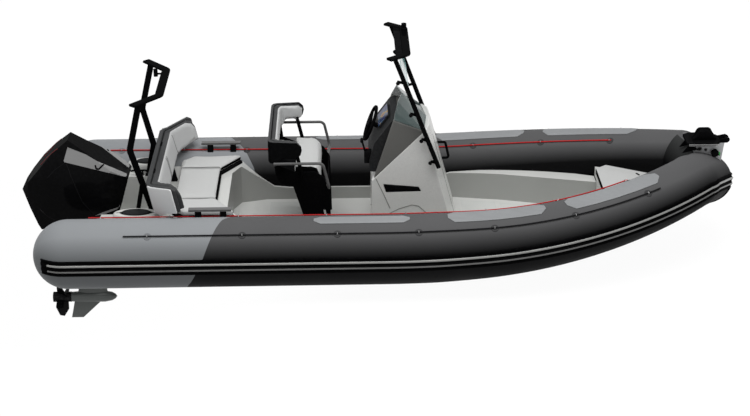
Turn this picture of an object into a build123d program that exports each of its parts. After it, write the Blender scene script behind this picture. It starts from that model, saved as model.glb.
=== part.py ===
from build123d import *
import os
from math import asin, atan2, cos, degrees, radians, sin, sqrt

# Rigid inflatable boat, 6.5 m: GRP hull, inflated collar, console, seats, masts and outboard.
# Millimetres. +X is the bow, +Y is port, +Z is up. The origin is on the waterline (Z = 0),
# on the centre plane (Y = 0), at the aft face of the transom's top (X = 0).

# ---------------------------------------------------------------- collar (inflated tube)
TUBE_R = 314.0          # radius of the straight tubes
NOSE_R = 250.0          # radius at the nose, reached by an even taper
TUBE_Y = 960.0          # half the spacing of the tubes' axes
TUBE_Z = 410.0          # height of the axes over the waterline
TUBE_AFT = -238.0       # centre of the domed stern ends
TAPER_X = 3070.0        # where the tubes start to narrow
SHEER_X = 2600.0        # where the tubes start to rise
SHEER_R = 12400.0       # radius of the rise, seen from the side
BOW_X = 3440.0          # where the tubes start to turn in
BOW_R = 3577.0          # radius of that turn, seen from above
BOW_TURN = 35.2         # degrees turned at the elbow before the nose
NOSE_REACH = 162.1      # how far ahead of the elbow the nose's axis meets the centre plane
NOSE_X = BOW_X + BOW_R * sin(radians(BOW_TURN)) + NOSE_REACH
NOSE_Z = 660.0          # and its height there
SEAT_GAP = 0.5          # gap between the collar and what lies against it
ELBOW_SWELL = 0.4       # how much fuller the ball at the elbow is than the tubes it joins

SPLIT_X = 1155.0        # colour joint of the collar, at the tube's top
SPLIT_OUT = 330.0       # how far the joint runs aft going down the outboard side
SPLIT_IN = 260.0        # how far it runs forward going down the inboard side

RAIL_HALF = 73.0        # half height of the rub rail
RAIL_T = 12.0           # how far it stands out
RAIL_SUNK = 4.0         # depth from which it is cut to the tube
RAIL_AFT = -272.0       # its aft end
STRIP_V = 27.0          # height of each bright strip off the rail's middle
STRIP_R = 9.0           # half-round size of a strip
STRIP_AFT = -195.0      # aft end of the strips

# ---------------------------------------------------------------- hull
DECK_Z = 215.0          # cockpit floor
HULL_TOP = 100.0        # flat on which the cockpit liner stands
TRANSOM_TOP = 300.0
TRANSOM_T = 60.0
RAKE = 13.0             # degrees, the transom's top lies further aft
WELL_HALF = 440.0       # half width of the motor well
WELL_FRONT = 560.0      # forward end of the motor well
SIDE_DECK_Z = 560.0     # top of the quarter decks
BENCH_Z = 600.0         # top of the liner under the bench
BENCH_STEP = 650.0      # where the quarter decks step up to it


def tube_radius(x):
    """Radius of the collar at a place along the boat."""
    share = (x - TAPER_X) / (NOSE_X - TAPER_X)
    return TUBE_R - (TUBE_R - NOSE_R) * min(max(share, 0.0), 1.0)


def tube_axis(x):
    """Port tube's axis at x: its point, heading and pitch in degrees."""
    rise = 0.0 if x < SHEER_X else SHEER_R - sqrt(SHEER_R**2 - (x - SHEER_X) ** 2)
    pitch = 0.0 if x < SHEER_X else degrees(asin((x - SHEER_X) / SHEER_R))
    if x < BOW_X:
        return Vector(x, TUBE_Y, TUBE_Z + rise), 0.0, pitch
    turn = asin((x - BOW_X) / BOW_R)
    return Vector(x, TUBE_Y - BOW_R * (1 - cos(turn)), TUBE_Z + rise), degrees(turn), pitch


def tube_plane(point, heading, pitch):
    """Section plane across the port tube: local X points outboard, local Y up."""
    h, p = radians(heading), radians(pitch)
    ahead = Vector(cos(h) * cos(p), -sin(h) * cos(p), sin(p))
    return Plane(origin=point, x_dir=(sin(h), cos(h), 0), z_dir=ahead)


def on_tube(x, angle, lift=0.0):
    """Point on the port tube; angle 0 is outboard, 90 the top and 180 inboard."""
    point, heading, pitch = tube_axis(x)
    plane = tube_plane(point, heading, pitch)
    r = tube_radius(x) + lift
    return plane.from_local_coords(Vector(r * cos(radians(angle)), r * sin(radians(angle)), 0))


ELBOW_X = BOW_X + BOW_R * sin(radians(BOW_TURN))
ELBOW, ELBOW_HEADING, ELBOW_PITCH = tube_axis(ELBOW_X)
NOSE = Vector(NOSE_X, 0, NOSE_Z)
NOSE_HEADING = degrees(atan2(ELBOW.Y, NOSE_X - ELBOW_X))
BOW_SPANS = 10          # even spans of the lofted bow
BOW_STATIONS = [SHEER_X + (ELBOW_X - SHEER_X) * n / BOW_SPANS for n in range(BOW_SPANS + 1)]


def both_sides(solid):
    """A port piece with its starboard twin."""
    return [solid, solid.mirror(Plane.XZ)]


def joined(solids):
    """One part from pieces that meet."""
    whole = solids[0]
    for solid in solids[1:]:
        whole = whole + solid
    return whole


def largest(shape):
    """The largest solid of a cut shape."""
    return shape.solids().sort_by(SortBy.VOLUME)[-1]


def side_block(points, y0, y1):
    """Side outline of (x, z) points, carried across from y0 to y1."""
    face = make_face(Polyline(*[(x, y0, z) for x, z in points], close=True))
    return extrude(face, amount=y1 - y0, dir=(0, 1, 0))


def plan_block(points, z0, z1):
    """Plan outline of (x, y) points, raised from z0 to z1."""
    face = make_face(Polyline(*[(x, y, z0) for x, y in points], close=True))
    return extrude(face, amount=z1 - z0, dir=(0, 0, 1))


def mirrored_plan(half):
    """Closed plan outline from its port half, listed from aft to forward."""
    return list(half) + [(x, -y) for x, y in reversed(half) if abs(y) > 0.01]


def box(x0, x1, y0, y1, z0, z1):
    """Block between two corners."""
    return Pos((x0 + x1) / 2, (y0 + y1) / 2, (z0 + z1) / 2) * Box(x1 - x0, y1 - y0, z1 - z0)


def bar(start, end, radius):
    """Round bar between two points."""
    a, b = Vector(*start), Vector(*end)
    return extrude(Plane(origin=a, z_dir=b - a) * Circle(radius), amount=(b - a).length)


def pipe(points, bend, radius):
    """Round tube along a bent route with one bend radius."""
    route = FilletPolyline(*points, radius=bend)
    start = Plane(origin=route @ 0, z_dir=route % 0)
    return sweep(start * Circle(radius), path=route)


def flat_bar(points, bend, width, depth):
    """Flat bar along a bent level route, its width lying level."""
    route = FilletPolyline(*points, radius=bend)
    start = Plane(origin=route @ 0, x_dir=(route % 0).cross(Vector(0, 0, 1)), z_dir=route % 0)
    return sweep(start * RectangleRounded(width, depth, depth * 0.45), path=route)


def tube_loft(profile, stations):
    """Loft of a profile(radius) set across the port tube at each station."""
    sections = []
    for x in stations:
        point, heading, pitch = tube_axis(x)
        sections.append(tube_plane(point, heading, pitch) * profile(tube_radius(x)))
    return loft(sections)


NOSE_STEPS = 5          # sections that turn a profile round the elbow


def nose_loft(profile):
    """Round the elbow and across the nose to beyond the centre plane."""
    r = tube_radius(ELBOW_X)
    sections = []
    for n in range(NOSE_STEPS):
        share = n / (NOSE_STEPS - 1)
        heading = BOW_TURN + (NOSE_HEADING - BOW_TURN) * share
        sections.append(tube_plane(ELBOW, heading, ELBOW_PITCH * (1 - share)) * profile(r))
    past = NOSE + (NOSE - ELBOW) * 0.4
    sections.append(tube_plane(past, NOSE_HEADING, 0) * profile(NOSE_R))
    return loft(sections, ruled=True)


PORT_HALF = box(-3000, 9000, 0, 3000, -2000, 4000)


def along_collar(profile, aft):
    """A profile carried from its aft end round the bow to the centre plane."""
    straight = extrude(tube_plane(Vector(aft, TUBE_Y, TUBE_Z), 0, 0) * profile(TUBE_R), amount=SHEER_X - aft)
    bow = tube_loft(profile, BOW_STATIONS)
    nose = nose_loft(profile) & PORT_HALF
    return straight + bow + nose


# ---------------------------------------------------------------- collar pieces
def disc(extra=0.0):
    """Round section of the collar, grown by a gap."""
    return lambda radius: Circle(radius + extra)


def port_tube(extra=0.0):
    """Port half of the collar, grown by a gap."""
    aft_r, bow_r, end_r = TUBE_R + extra, tube_radius(ELBOW_X) + extra + ELBOW_SWELL, NOSE_R + extra
    stern = make_face(
        Polyline((SHEER_X, 0), (TUBE_AFT - aft_r, 0))
        + RadiusArc((TUBE_AFT - aft_r, 0), (TUBE_AFT, aft_r), aft_r)
        + Polyline((TUBE_AFT, aft_r), (SHEER_X, aft_r), (SHEER_X, 0))
    )
    straight = Pos(0, TUBE_Y, TUBE_Z) * revolve(Plane.XZ * stern, Axis.X)
    bow = tube_loft(disc(extra), BOW_STATIONS)
    length = (NOSE - ELBOW).length * 1.6
    end = make_face(
        Polyline((length, 0), (-bow_r, 0))
        + RadiusArc((-bow_r, 0), (0, bow_r), bow_r)
        + Polyline((0, bow_r), (length, end_r), (length, 0))
    )
    ahead = NOSE - ELBOW
    frame = Plane(origin=ELBOW, x_dir=ahead, z_dir=Vector(-ahead.Y, ahead.X, 0))
    nose = frame.location * revolve(end, Axis.X)
    return joined([straight, bow, nose]) & PORT_HALF


def aft_zone():
    """Space aft of the collar's slanted colour joint, on the port side."""
    low, high, back = TUBE_Z - 2 * TUBE_R, TUBE_Z + TUBE_R, TUBE_AFT - 2 * TUBE_R
    outboard = side_block(
        [(back, low), (SPLIT_X - SPLIT_OUT * 1.5, low), (SPLIT_X, high), (SPLIT_X, high + 99), (back, high + 99)],
        TUBE_Y, TUBE_Y + 2 * TUBE_R,
    )
    inboard = side_block(
        [(back, low), (SPLIT_X + SPLIT_IN * 1.5, low), (SPLIT_X, high), (SPLIT_X, high + 99), (back, high + 99)],
        TUBE_Y - 2 * TUBE_R, TUBE_Y,
    )
    return outboard + inboard


def collar():
    """Aft tube ends, and the forward tubes joined round the nose."""
    tube = port_tube()
    zone = aft_zone()
    aft = tube & zone
    forward = tube - zone
    return aft, aft.mirror(Plane.XZ), forward + forward.mirror(Plane.XZ)


def rail_section(radius):
    """Rub rail: a band that hugs the tube."""
    r0, r1 = radius - RAIL_SUNK, radius + RAIL_T
    low, high = [(sqrt(r0**2 - RAIL_HALF**2), v) for v in (-RAIL_HALF, RAIL_HALF)]
    outer = [(sqrt(r1**2 - v**2), v) for v in (-RAIL_HALF, -STRIP_V, STRIP_V, RAIL_HALF)]
    return make_face(ThreePointArc(high, (r0, 0), low) + Polyline(*([low] + outer + [high])))


def strip_section(height):
    """Bright half-round strip on the rub rail."""
    def section(radius):
        foot = sqrt((radius + RAIL_T) ** 2 - height**2) + SEAT_GAP
        rounds = [(foot + STRIP_R * sin(radians(a)), height - STRIP_R * cos(radians(a))) for a in (0, 45, 90, 135, 180)]
        return make_face(Polyline(*rounds, close=True))

    return section


def rub_rail(tubes):
    """Black rail round the whole boat."""
    return joined(both_sides(along_collar(rail_section, RAIL_AFT))) - tubes


def rail_strips():
    """Two bright strips a side, on the rail."""
    strips = []
    for height in (STRIP_V, -STRIP_V):
        strips += [joined(both_sides(along_collar(strip_section(height), STRIP_AFT)))]
    return Compound(children=strips)


# Step pads on the tubes' tops. Columns: aft x, forward x, outboard angle, inboard angle
PADS = [
    (1975.0, 2840.0, 74.0, 96.0),
    (3190.0, 4085.0, 70.0, 108.0),
    (4275.0, 5155.0, 66.0, 108.0),
]
PAD_T = 6.0             # how far a pad stands out of the tube
PAD_SUNK = 12.0         # depth from which a pad is cut to the tube
PAD_POINT = 62.0        # length of a pad's pointed ends


def pads(tubes):
    """Pads with pointed ends that follow the tubes."""
    pieces = []
    for x0, x1, out_angle, in_angle in PADS:
        middle = (out_angle + in_angle) / 2
        stops = [(x0, 3.0), (x0 + PAD_POINT, 1.0)]
        stops += [(x0 + (x1 - x0) * share, 1.0) for share in (0.28, 0.5, 0.72)]
        stops += [(x1 - PAD_POINT, 1.0), (x1, 3.0)]
        sections = []
        for x, narrow in stops:
            half = (in_angle - out_angle) / 2 / narrow
            a, b, c = [on_tube(x, middle + side * half, PAD_T) for side in (-1, 0, 1)]
            foot_a, foot_c = [on_tube(x, middle + side * half, -PAD_SUNK) for side in (-1, 1)]
            sections.append(make_face(ThreePointArc(a, b, c) + Polyline(c, foot_c, foot_a, a)))
        pieces += both_sides(loft(sections, ruled=True) - tubes)
    return Compound(children=pieces)


# Grab lines. Columns: x of each eyelet, from aft; the first and last are the line's ends
INNER_LINE = [-25.0, 50.0, 670.0, 1290.0, 2090.0, 2810.0, 3560.0, 4265.0, 4950.0]
OUTER_LINE = [290.0, 503.0, 1342.0, 2186.0, 2915.0, 3595.0, 4305.0, 4968.0, 5084.0]
INNER_ANGLE = 119.0     # where the inner line runs round the tube
INNER_TURN = 7.0        # extra turn at its forward end
OUTER_ANGLE = 53.0
LINE_R = 7.0            # half the lines' thickness
LINE_LIFT = 16.0        # height of the line's middle over the tube
EYE_W = 27.0            # an eyelet's square post
EYE_SEAT = 0.6          # clearance of its patch on the straight tube
EYE_SEAT_BOW = 1.8      # and on the turning bow
EYE_PAD_R = 34.0        # its glued patch
EYE_PAD_T = 4.0         # and the patch's thickness
LINE_BEND = 400.0       # bend radius at an eyelet
LINE_TURN = 0.004       # sine of the smallest turn that counts as a bend
LINE_REST = 3.0         # clearance of a line that rests on the tube


def line_angle(x, inner):
    """Angle of a grab line round the tube."""
    if not inner:
        return OUTER_ANGLE
    return INNER_ANGLE + INNER_TURN * max(0.0, (x - BOW_X) / (INNER_LINE[-1] - BOW_X))


def grab_line(stations, inner):
    """Taut line through its eyelets, laid on the tube between them where the tube turns."""
    points = [on_tube(stations[0], line_angle(stations[0], inner), LINE_LIFT)]
    for x, ahead in zip(stations, stations[1:]):
        if ahead > BOW_X:
            middle = (x + ahead) / 2
            points.append(on_tube(middle, line_angle(middle, inner), LINE_R + LINE_REST))
        points.append(on_tube(ahead, line_angle(ahead, inner), LINE_LIFT))
    route = [points[0]]
    for point, ahead in zip(points[1:], points[2:]):
        turn = (point - route[-1]).normalized().cross((ahead - point).normalized()).length
        if turn > LINE_TURN:
            route.append(point)
    return pipe(route + [points[-1]], LINE_BEND, LINE_R)


def eyelet(x, inner):
    """Post on a glued patch, for the line to pass through, on the port side."""
    angle = line_angle(x, inner)
    seat = EYE_SEAT if x < SHEER_X else EYE_SEAT_BOW
    foot = on_tube(x, angle, seat)
    plane = Plane(origin=foot, x_dir=on_tube(x + 1, angle, seat) - foot, z_dir=on_tube(x, angle, TUBE_R) - foot)
    patch = extrude(plane * RegularPolygon(EYE_PAD_R, 12), amount=EYE_PAD_T)
    post = extrude(plane * Rectangle(EYE_W, EYE_W), amount=LINE_LIFT + LINE_R + 3)
    return patch + post


def line_eyelets(inner_line, outer_line):
    """Every eyelet of the four lines, bored by its line."""
    pieces = []
    for stations, inner, line in ((INNER_LINE, True, inner_line), (OUTER_LINE, False, outer_line)):
        for x in stations[1:-1]:
            pieces += both_sides(largest(eyelet(x, inner) - line))
    return Compound(children=pieces)


# ---------------------------------------------------------------- hull shell
# Columns: x, keel height, chine half width, chine height, top half width, top height
HULL_STATIONS = [
    (-120.0, -380.0, 880.0, 20.0, 900.0, 330.0),
    (2600.0, -380.0, 880.0, 30.0, 900.0, 330.0),
    (3600.0, -345.0, 800.0, 65.0, 830.0, 350.0),
    (4400.0, -225.0, 600.0, 140.0, 640.0, 420.0),
    (5000.0, -20.0, 350.0, 260.0, 400.0, 520.0),
    (5420.0, 215.0, 120.0, 400.0, 180.0, 600.0),
    (5560.0, 400.0, 14.0, 500.0, 24.0, 640.0),
]
BOW_DECK_X = 4700.0     # aft end of the decked bow
BOW_DECK_Z = 520.0      # underside of the locker there
# Plan of the wall that closes the cockpit forward. Columns: x, half width
RISER_PLAN = [(BOW_DECK_X, 285.0), (5000.0, 200.0)]


# Plan of the liner's outside, under the tubes. Columns: x, half width
LINER_PLAN = [(-900.0, 800.0), (3000.0, 800.0), (3600.0, 740.0), (4400.0, 560.0), (BOW_DECK_X, 440.0)]


def hull_shell(tubes):
    """Deep-vee hull with a raked transom, cut to seat the tubes and the cockpit."""
    sections = []
    for x, keel, chine_y, chine_z, top_y, top_z in HULL_STATIONS:
        half = [(x, chine_y, chine_z), (x, top_y, top_z)]
        other = [(x, -y, z) for _, y, z in reversed(half)]
        sections.append(make_face(Polyline(*([(x, 0, keel)] + half + other), close=True)))
    solid = loft(sections, ruled=True)
    foot = tan_x(-600.0)
    head = tan_x(600.0)
    solid = solid - side_block([(foot, -600), (head, 600), (-900, 600), (-900, -600)], -1500, 1500)
    solid = solid - plan_block(mirrored_plan(LINER_PLAN), HULL_TOP, 900)
    solid = solid - plan_block(mirrored_plan(RISER_PLAN), HULL_TOP, 900)
    solid = solid - box(BOW_DECK_X - 1, 6000, -900, 900, BOW_DECK_Z, 900)
    return solid - tubes


def tan_x(z):
    """The raked transom's aft face: its x at a height."""
    return (TRANSOM_TOP - z) * sin(radians(RAKE)) / cos(radians(RAKE))


# ---------------------------------------------------------------- cockpit liner
# Side view of the coaming's top. Columns: x, z
COAMING = [
    (0.0, SIDE_DECK_Z), (BENCH_STEP - 5, SIDE_DECK_Z), (BENCH_STEP + 5, BENCH_Z), (1245.0, BENCH_Z), (1430.0, 450.0), (1560.0, 355.0), (1700.0, 338.0),
    (2750.0, 338.0), (3000.0, 400.0), (3300.0, 475.0), (3600.0, 488.0), (4700.0, 500.0),
]
# Plan of the cockpit well. Columns: x, half width
COCKPIT = [(1165.0, 400.0), (1240.0, 560.0), (1480.0, 628.0), (3300.0, 628.0), (3800.0, 540.0), (4700.0, 290.0)]


def cockpit_liner(tubes):
    """Moulded cockpit: floor, coamings, quarter decks and motor well in one piece."""
    outline = [(0.0, HULL_TOP + SEAT_GAP)] + COAMING + [(BOW_DECK_X, HULL_TOP + SEAT_GAP)]
    solid = side_block(outline, -LINER_PLAN[0][1], LINER_PLAN[0][1])
    solid = solid & plan_block(mirrored_plan(LINER_PLAN), 0, 900)
    solid = solid - plan_block(mirrored_plan(COCKPIT), DECK_Z, 900)
    solid = solid - box(TRANSOM_T, WELL_FRONT, -WELL_HALF, WELL_HALF, DECK_Z, 900)
    solid = solid - box(-10, TRANSOM_T, -WELL_HALF, WELL_HALF, TRANSOM_TOP, 900)
    rake = side_block([(tan_x(0), 0), (tan_x(900), 900), (-900, 900), (-900, 0)], -900, 900)
    solid = solid - rake - tubes
    return solid



HATCH_AT = (165.0, 560.0)       # middle of the oval lids on the quarter decks
HATCH_HALF = (108.0, 60.0)      # their half length and half width
HATCH_T = 18.0
HATCH_STEP = 26.0               # how far the raised middle is drawn in


def deck_hatches():
    """Oval lids with a raised middle, one a side on the quarter decks."""
    x, y = HATCH_AT
    length, width = HATCH_HALF
    foot = SIDE_DECK_Z + SEAT_GAP
    rim = extrude(Pos(x, y, foot) * Ellipse(length, width), amount=HATCH_T * 0.45)
    middle = extrude(Pos(x, y, foot) * Ellipse(length - HATCH_STEP, width - HATCH_STEP), amount=HATCH_T)
    return Compound(children=both_sides(rim + middle))


# ---------------------------------------------------------------- aft bench
BOARD_T = 28.0          # black board under the cushions
BENCH_TOP = 682.0       # top of the cushions
BENCH_AFT = 665.0       # aft edge of the cushions
BENCH_HALF = 668.0      # half width over the side cushions
BENCH_SEAM = 355.0      # seam between middle and side cushions
BENCH_FRONT = 1065.0    # forward edge of the middle cushion
BENCH_TIP = 1252.0      # forward tips of the side cushions
SOFT_GAP = 0.6          # gap round soft pieces
# Port half of the backrest in plan. Columns: x, y
BACK_SHELL = [(455.0, 0.0), (455.0, 650.0), (480.0, 700.0), (722.0, 905.0), (755.0, 900.0), (745.0, 870.0),
              (510.0, 672.0), (495.0, 640.0), (495.0, 0.0)]
BACK_PAD = [(496.0, 0.0), (496.0, 640.0), (511.0, 671.0), (746.0, 869.0), (792.0, 850.0), (795.0, 815.0),
            (610.0, 650.0), (575.0, 600.0), (575.0, 0.0)]
BACK_LOW = 690.0        # underside of the middle of the backrest
BACK_TOP = 960.0        # its top in the middle
WING_TOP = 1005.0       # top of its wings
POST_Y = 330.0          # backrest posts


def bench_boards():
    """Black boards under the three cushions."""
    outline = [(BENCH_AFT, 0), (BENCH_AFT, 560), (770, BENCH_HALF), (1240, BENCH_HALF), (BENCH_TIP, 650),
               (BENCH_FRONT, BENCH_SEAM), (BENCH_FRONT, 0)]
    return plan_block(mirrored_plan(outline), BENCH_Z + SEAT_GAP, BENCH_Z + BOARD_T)


def bench_cushions():
    """Middle cushion and two side cushions."""
    low = BENCH_Z + BOARD_T + SOFT_GAP
    middle = box(BENCH_AFT, BENCH_FRONT, -BENCH_SEAM + 2, BENCH_SEAM - 2, low, BENCH_TOP)
    side = [(BENCH_AFT, BENCH_SEAM + 2), (BENCH_AFT, 560), (770, BENCH_HALF), (1240, BENCH_HALF),
            (BENCH_TIP, 650), (BENCH_FRONT, BENCH_SEAM + 2)]
    return Compound(children=[middle] + both_sides(plan_block(side, low, BENCH_TOP)))


BACK_REF = 955.0        # height at which the plans of the backrest hold
BACK_LEAN = 0.2         # how far it leans aft for each unit of height


def back_block(outline):
    """Leaning block of a backrest plan, with a raised underside and swept wings."""
    low, high = 600, 1100
    shift = BACK_LEAN * (BACK_REF - low)
    face = make_face(Polyline(*[(x + shift, y, low) for x, y in mirrored_plan(outline)], close=True))
    solid = extrude(face, amount=(high - low) * sqrt(1 + BACK_LEAN**2), dir=(-BACK_LEAN, 0, 1))
    top = side_block([(350, BACK_TOP), (520, BACK_TOP), (700, WING_TOP), (760, WING_TOP - 25), (830, 880), (950, 880),
                      (950, 1200), (350, 1200)], -1000, 1000)
    under = side_block([(350, 560), (350, BACK_LOW), (600, BACK_LOW), (660, 735), (800, 790), (950, 790), (950, 560)],
                       -1000, 1000)
    return solid - top - under


def bench_back_shell():
    """Dark moulded shell of the wrap-around backrest."""
    return back_block(BACK_SHELL)


def bench_back_pad():
    """Light pad inside the shell."""
    return back_block(BACK_PAD)


def bench_back_posts():
    """Posts that stand the backrest on the bench."""
    foot = SIDE_DECK_Z + SEAT_GAP
    post = side_block([(575, foot), (640, foot), (610, BACK_LOW), (515, BACK_LOW), (515, BACK_LOW - 30)],
                      POST_Y - 25, POST_Y + 25)
    return Compound(children=both_sides(post))


HANDLE_Y = 800.0        # grab handles over the tubes, beside the bench
HANDLE_X = (844.0, 1230.0)
HANDLE_Z = 768.0


def grab_handles(line):
    """Flat-topped handles, one a side, on two posts."""
    x0, x1 = HANDLE_X
    top = box(x0, x1, HANDLE_Y - 28, HANDLE_Y + 28, HANDLE_Z - 20, HANDLE_Z)
    posts = [box(x - 28, x + 28, HANDLE_Y - 22, HANDLE_Y + 22, 655, HANDLE_Z - 19) for x in (x0 + 85, x1 - 75)]
    handle = joined([top] + posts) - port_tube(SEAT_GAP) - line
    return Compound(children=both_sides(largest(handle)))


# ---------------------------------------------------------------- masts
LEG_W = 58.0            # aft mast legs: width fore and aft
LEG_D = 34.0            # and thickness
MAST_LEG = [(488.0, 452.0, 572.0), (318.0, 530.0, 1234.0), (428.0, 552.0, 1684.0)]
MAST_BRACE = [(338.0, 470.0, 572.0), (402.0, 488.0, 880.0)]
MAST_HEAD_Z = 1690.0
MAST_TIP = (377.0, 605.0)
MAST_CORNER = (591.0, 345.0)
HEAD_W = 80.0
HEAD_D = 26.0


def oval_pipe(points, bend, width, depth):
    """Oval tube along a bent route, its width lying fore and aft."""
    route = FilletPolyline(*points, radius=bend) if len(points) > 2 else Polyline(*points)
    ahead = route % 0
    across = Vector(0, 1, 0).cross(ahead)
    start = Plane(origin=route @ 0, x_dir=across, z_dir=ahead)
    return sweep(start * RectangleRounded(width, depth, depth * 0.46), path=route)


def mast_legs():
    """Kneed legs with their braces and foot plates."""
    leg = oval_pipe(MAST_LEG, 90, LEG_W, LEG_D)
    brace = oval_pipe(MAST_BRACE, 0, LEG_W * 0.7, LEG_D * 0.9)
    foot = box(312, 522, 446, 494, SIDE_DECK_Z + SEAT_GAP, SIDE_DECK_Z + 14)
    return Compound(children=both_sides(joined([leg, brace, foot])))


def mast_head():
    """Level bow-shaped head with swept wing tips."""
    half = [(*MAST_TIP, MAST_HEAD_Z), (*MAST_CORNER, MAST_HEAD_Z)]
    points = half + [(x, -y, z) for x, y, z in reversed(half)]
    head = flat_bar(points, 70, HEAD_W, HEAD_D)
    legs = [leg for leg in mast_legs().solids()]
    for leg in legs:
        head = head - leg
    return head


LAMP_R = 20.0


MAST_LAMP_Y = 240.0     # the lamp stands on the port half of the head


def mast_lamp():
    """All-round lamp on an arm aft of the mast head."""
    root, y = MAST_CORNER[0] - HEAD_W / 2, MAST_LAMP_Y
    arm = bar((root - SEAT_GAP, y, MAST_HEAD_Z), (root - 42, y, MAST_HEAD_Z), 9)
    lens = bar((root - 48, y, MAST_HEAD_Z - 24), (root - 48, y, MAST_HEAD_Z + 46), LAMP_R)
    return arm + lens


# ---------------------------------------------------------------- console
CONSOLE_HALF = 360.0
CONSOLE_AFT = 2505.0
CONSOLE_BULGE = 65.0    # how far the front stands forward at the middle
# Columns: height, x of the console's front corners
CONSOLE_FRONT = [(215.5, 3285.0), (489.0, 3218.0), (938.0, 3101.0), (1366.0, 2988.0)]
CAP_FOOT = (2528.0, 851.0)      # lower aft corner of the dark cap
CAP_PEAK = (2710.0, 1420.0)
CAP_NOSE = (2990.0, 1310.0)
CAP_WALL = 42.0         # side walls of the cap beside the dashboard
DASH_DEPTH = 45.0       # how far the dashboard lies inside the cap


def console_body():
    """Solid outline of the console, up to the windscreen."""
    sections = []
    for z, x in CONSOLE_FRONT:
        half = [(2300, CONSOLE_HALF), (x, CONSOLE_HALF), (x + CONSOLE_BULGE * 0.75, CONSOLE_HALF * 0.6),
                (x + CONSOLE_BULGE, 0)]
        sections.append(make_face(Polyline(*[(px, py, z) for px, py in mirrored_plan(half)], close=True)))
    return loft(sections, ruled=True)


def console_shell():
    """Light moulded base of the console."""
    keep = side_block([(CONSOLE_AFT, 200), (CONSOLE_AFT, 826), CAP_FOOT, CAP_NOSE, (3100, 1366), (3500, 1366),
                       (3500, 200)], -400, 400)
    vent = side_block([(2617, 788), (2941, 756), (2961, 718), (2639, 713)], -400, -CONSOLE_HALF + 22)
    shell = console_body() & keep
    return shell - vent - vent.mirror(Plane.XZ)


def console_cap():
    """Dark upper cap, open aft for the dashboard."""
    foot, peak, nose = [Vector(p[0], 0, p[1]) for p in (CAP_FOOT, CAP_PEAK, CAP_NOSE)]
    lift = SEAT_GAP
    outline = [(foot.X, foot.Z + lift), (peak.X, peak.Z), (nose.X, nose.Z + lift)]
    solid = side_block(outline, -CONSOLE_HALF, CONSOLE_HALF)
    room = side_block([(foot.X - 200, foot.Z), (peak.X - 200, peak.Z + 100), (peak.X + DASH_DEPTH, peak.Z + 20),
                       (foot.X + DASH_DEPTH, foot.Z + 25), (foot.X + DASH_DEPTH, foot.Z - 100)],
                      -CONSOLE_HALF + CAP_WALL, CONSOLE_HALF - CAP_WALL)
    return solid - room


# Sloping face of the pod, from its lower to its upper edge. Columns: x, z
DASH_SLOPE = [(CAP_FOOT[0] + 5, CAP_FOOT[1] + 330), (CAP_PEAK[0] - 15, CAP_PEAK[1] - 20)]


def dashboard():
    """Raised instrument pod that fills the cap's opening."""
    foot, peak = CAP_FOOT, CAP_PEAK
    outline = [(foot[0] - 40, foot[1] + 55), (foot[0] - 42, foot[1] + 160)] + DASH_SLOPE
    outline += [(peak[0] + DASH_DEPTH - 2, peak[1] - 8), (foot[0] + DASH_DEPTH - 2, foot[1] + 42)]
    half = CONSOLE_HALF - CAP_WALL - SEAT_GAP
    return largest(side_block(outline, -half, half) - console_cap() - console_shell())


DISPLAY_SHARE = 0.66    # how far up the sloping part of the pod the screen's middle lies
DISPLAY_SIZE = (300.0, 150.0, 24.0)
DASH_TILT = 21.0        # degrees the wheel leans back


def display():
    """Instrument screen on the dashboard."""
    low, high = [Vector(p[0], 0, p[1]) for p in DASH_SLOPE]
    slope = (high - low).normalized()
    plane = Plane(origin=low + (high - low) * DISPLAY_SHARE, x_dir=(0, 1, 0), z_dir=Vector(-slope.Z, 0, slope.X))
    width, height, depth = DISPLAY_SIZE
    return extrude(plane.offset(SEAT_GAP) * RectangleRounded(width, height, 12), amount=depth)


WHEEL_AT = Vector(2505.0, 0.0, 1262.0)
WHEEL_R = 160.0         # to the middle of the rim
WHEEL_RIM = 15.0
WHEEL_HUB = 40.0        # length of the hub
WHEEL_GAP = 1.0         # running clearance behind it
COLUMN_R = 22.0


def wheel_axis():
    """Direction of the steering column, towards the helm."""
    return Vector(-cos(radians(DASH_TILT)), 0, sin(radians(DASH_TILT)))


def steering_wheel():
    """Rim, hub and three spokes."""
    plane = Plane(origin=WHEEL_AT, x_dir=(0, 1, 0), z_dir=wheel_axis())
    rim = plane.location * Torus(WHEEL_R, WHEEL_RIM)
    hub = plane.location * Cylinder(34, WHEEL_HUB)
    spokes = []
    for n in range(3):
        turn = radians(90 + 120 * n)
        tip = plane.from_local_coords(Vector(WHEEL_R * cos(turn), WHEEL_R * sin(turn), 0))
        spokes.append(bar(WHEEL_AT, tip, 11))
    return joined([rim, hub] + spokes)


def steering_column():
    """Short column between the dashboard and the wheel's hub."""
    start = WHEEL_AT - wheel_axis() * (WHEEL_HUB / 2 + WHEEL_GAP)
    return largest(bar(start, start - wheel_axis() * 120, COLUMN_R) - dashboard())


def throttle():
    """Control box and lever at the starboard side of the dashboard."""
    base = box(2440, 2520, -300, -210, 980, 1090) - dashboard()
    lever = bar((2450, -255, 1080), (2420, -255, 1190), 9)
    grip = bar((2420, -285, 1190), (2420, -225, 1190), 15)
    return joined([base, lever, grip])


SCREEN_T = 9.0
SCREEN_TOP_HALF = 225.0
SCREEN_TOP = (2755.0, 1556.0)
SCREEN_BOW = 46.0       # how far the front bows out


def pane(points, thickness):
    """Flat pane with its outer face through the points, thickened towards the helm."""
    face = make_face(Polyline(*points, close=True)).face()
    normal = face.normal_at()
    inward = Vector(CAP_PEAK[0] - 400, 0, CAP_PEAK[1] - 300) - face.center()
    return extrude(face, amount=thickness, dir=normal if normal.dot(inward) > 0 else -normal)


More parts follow.
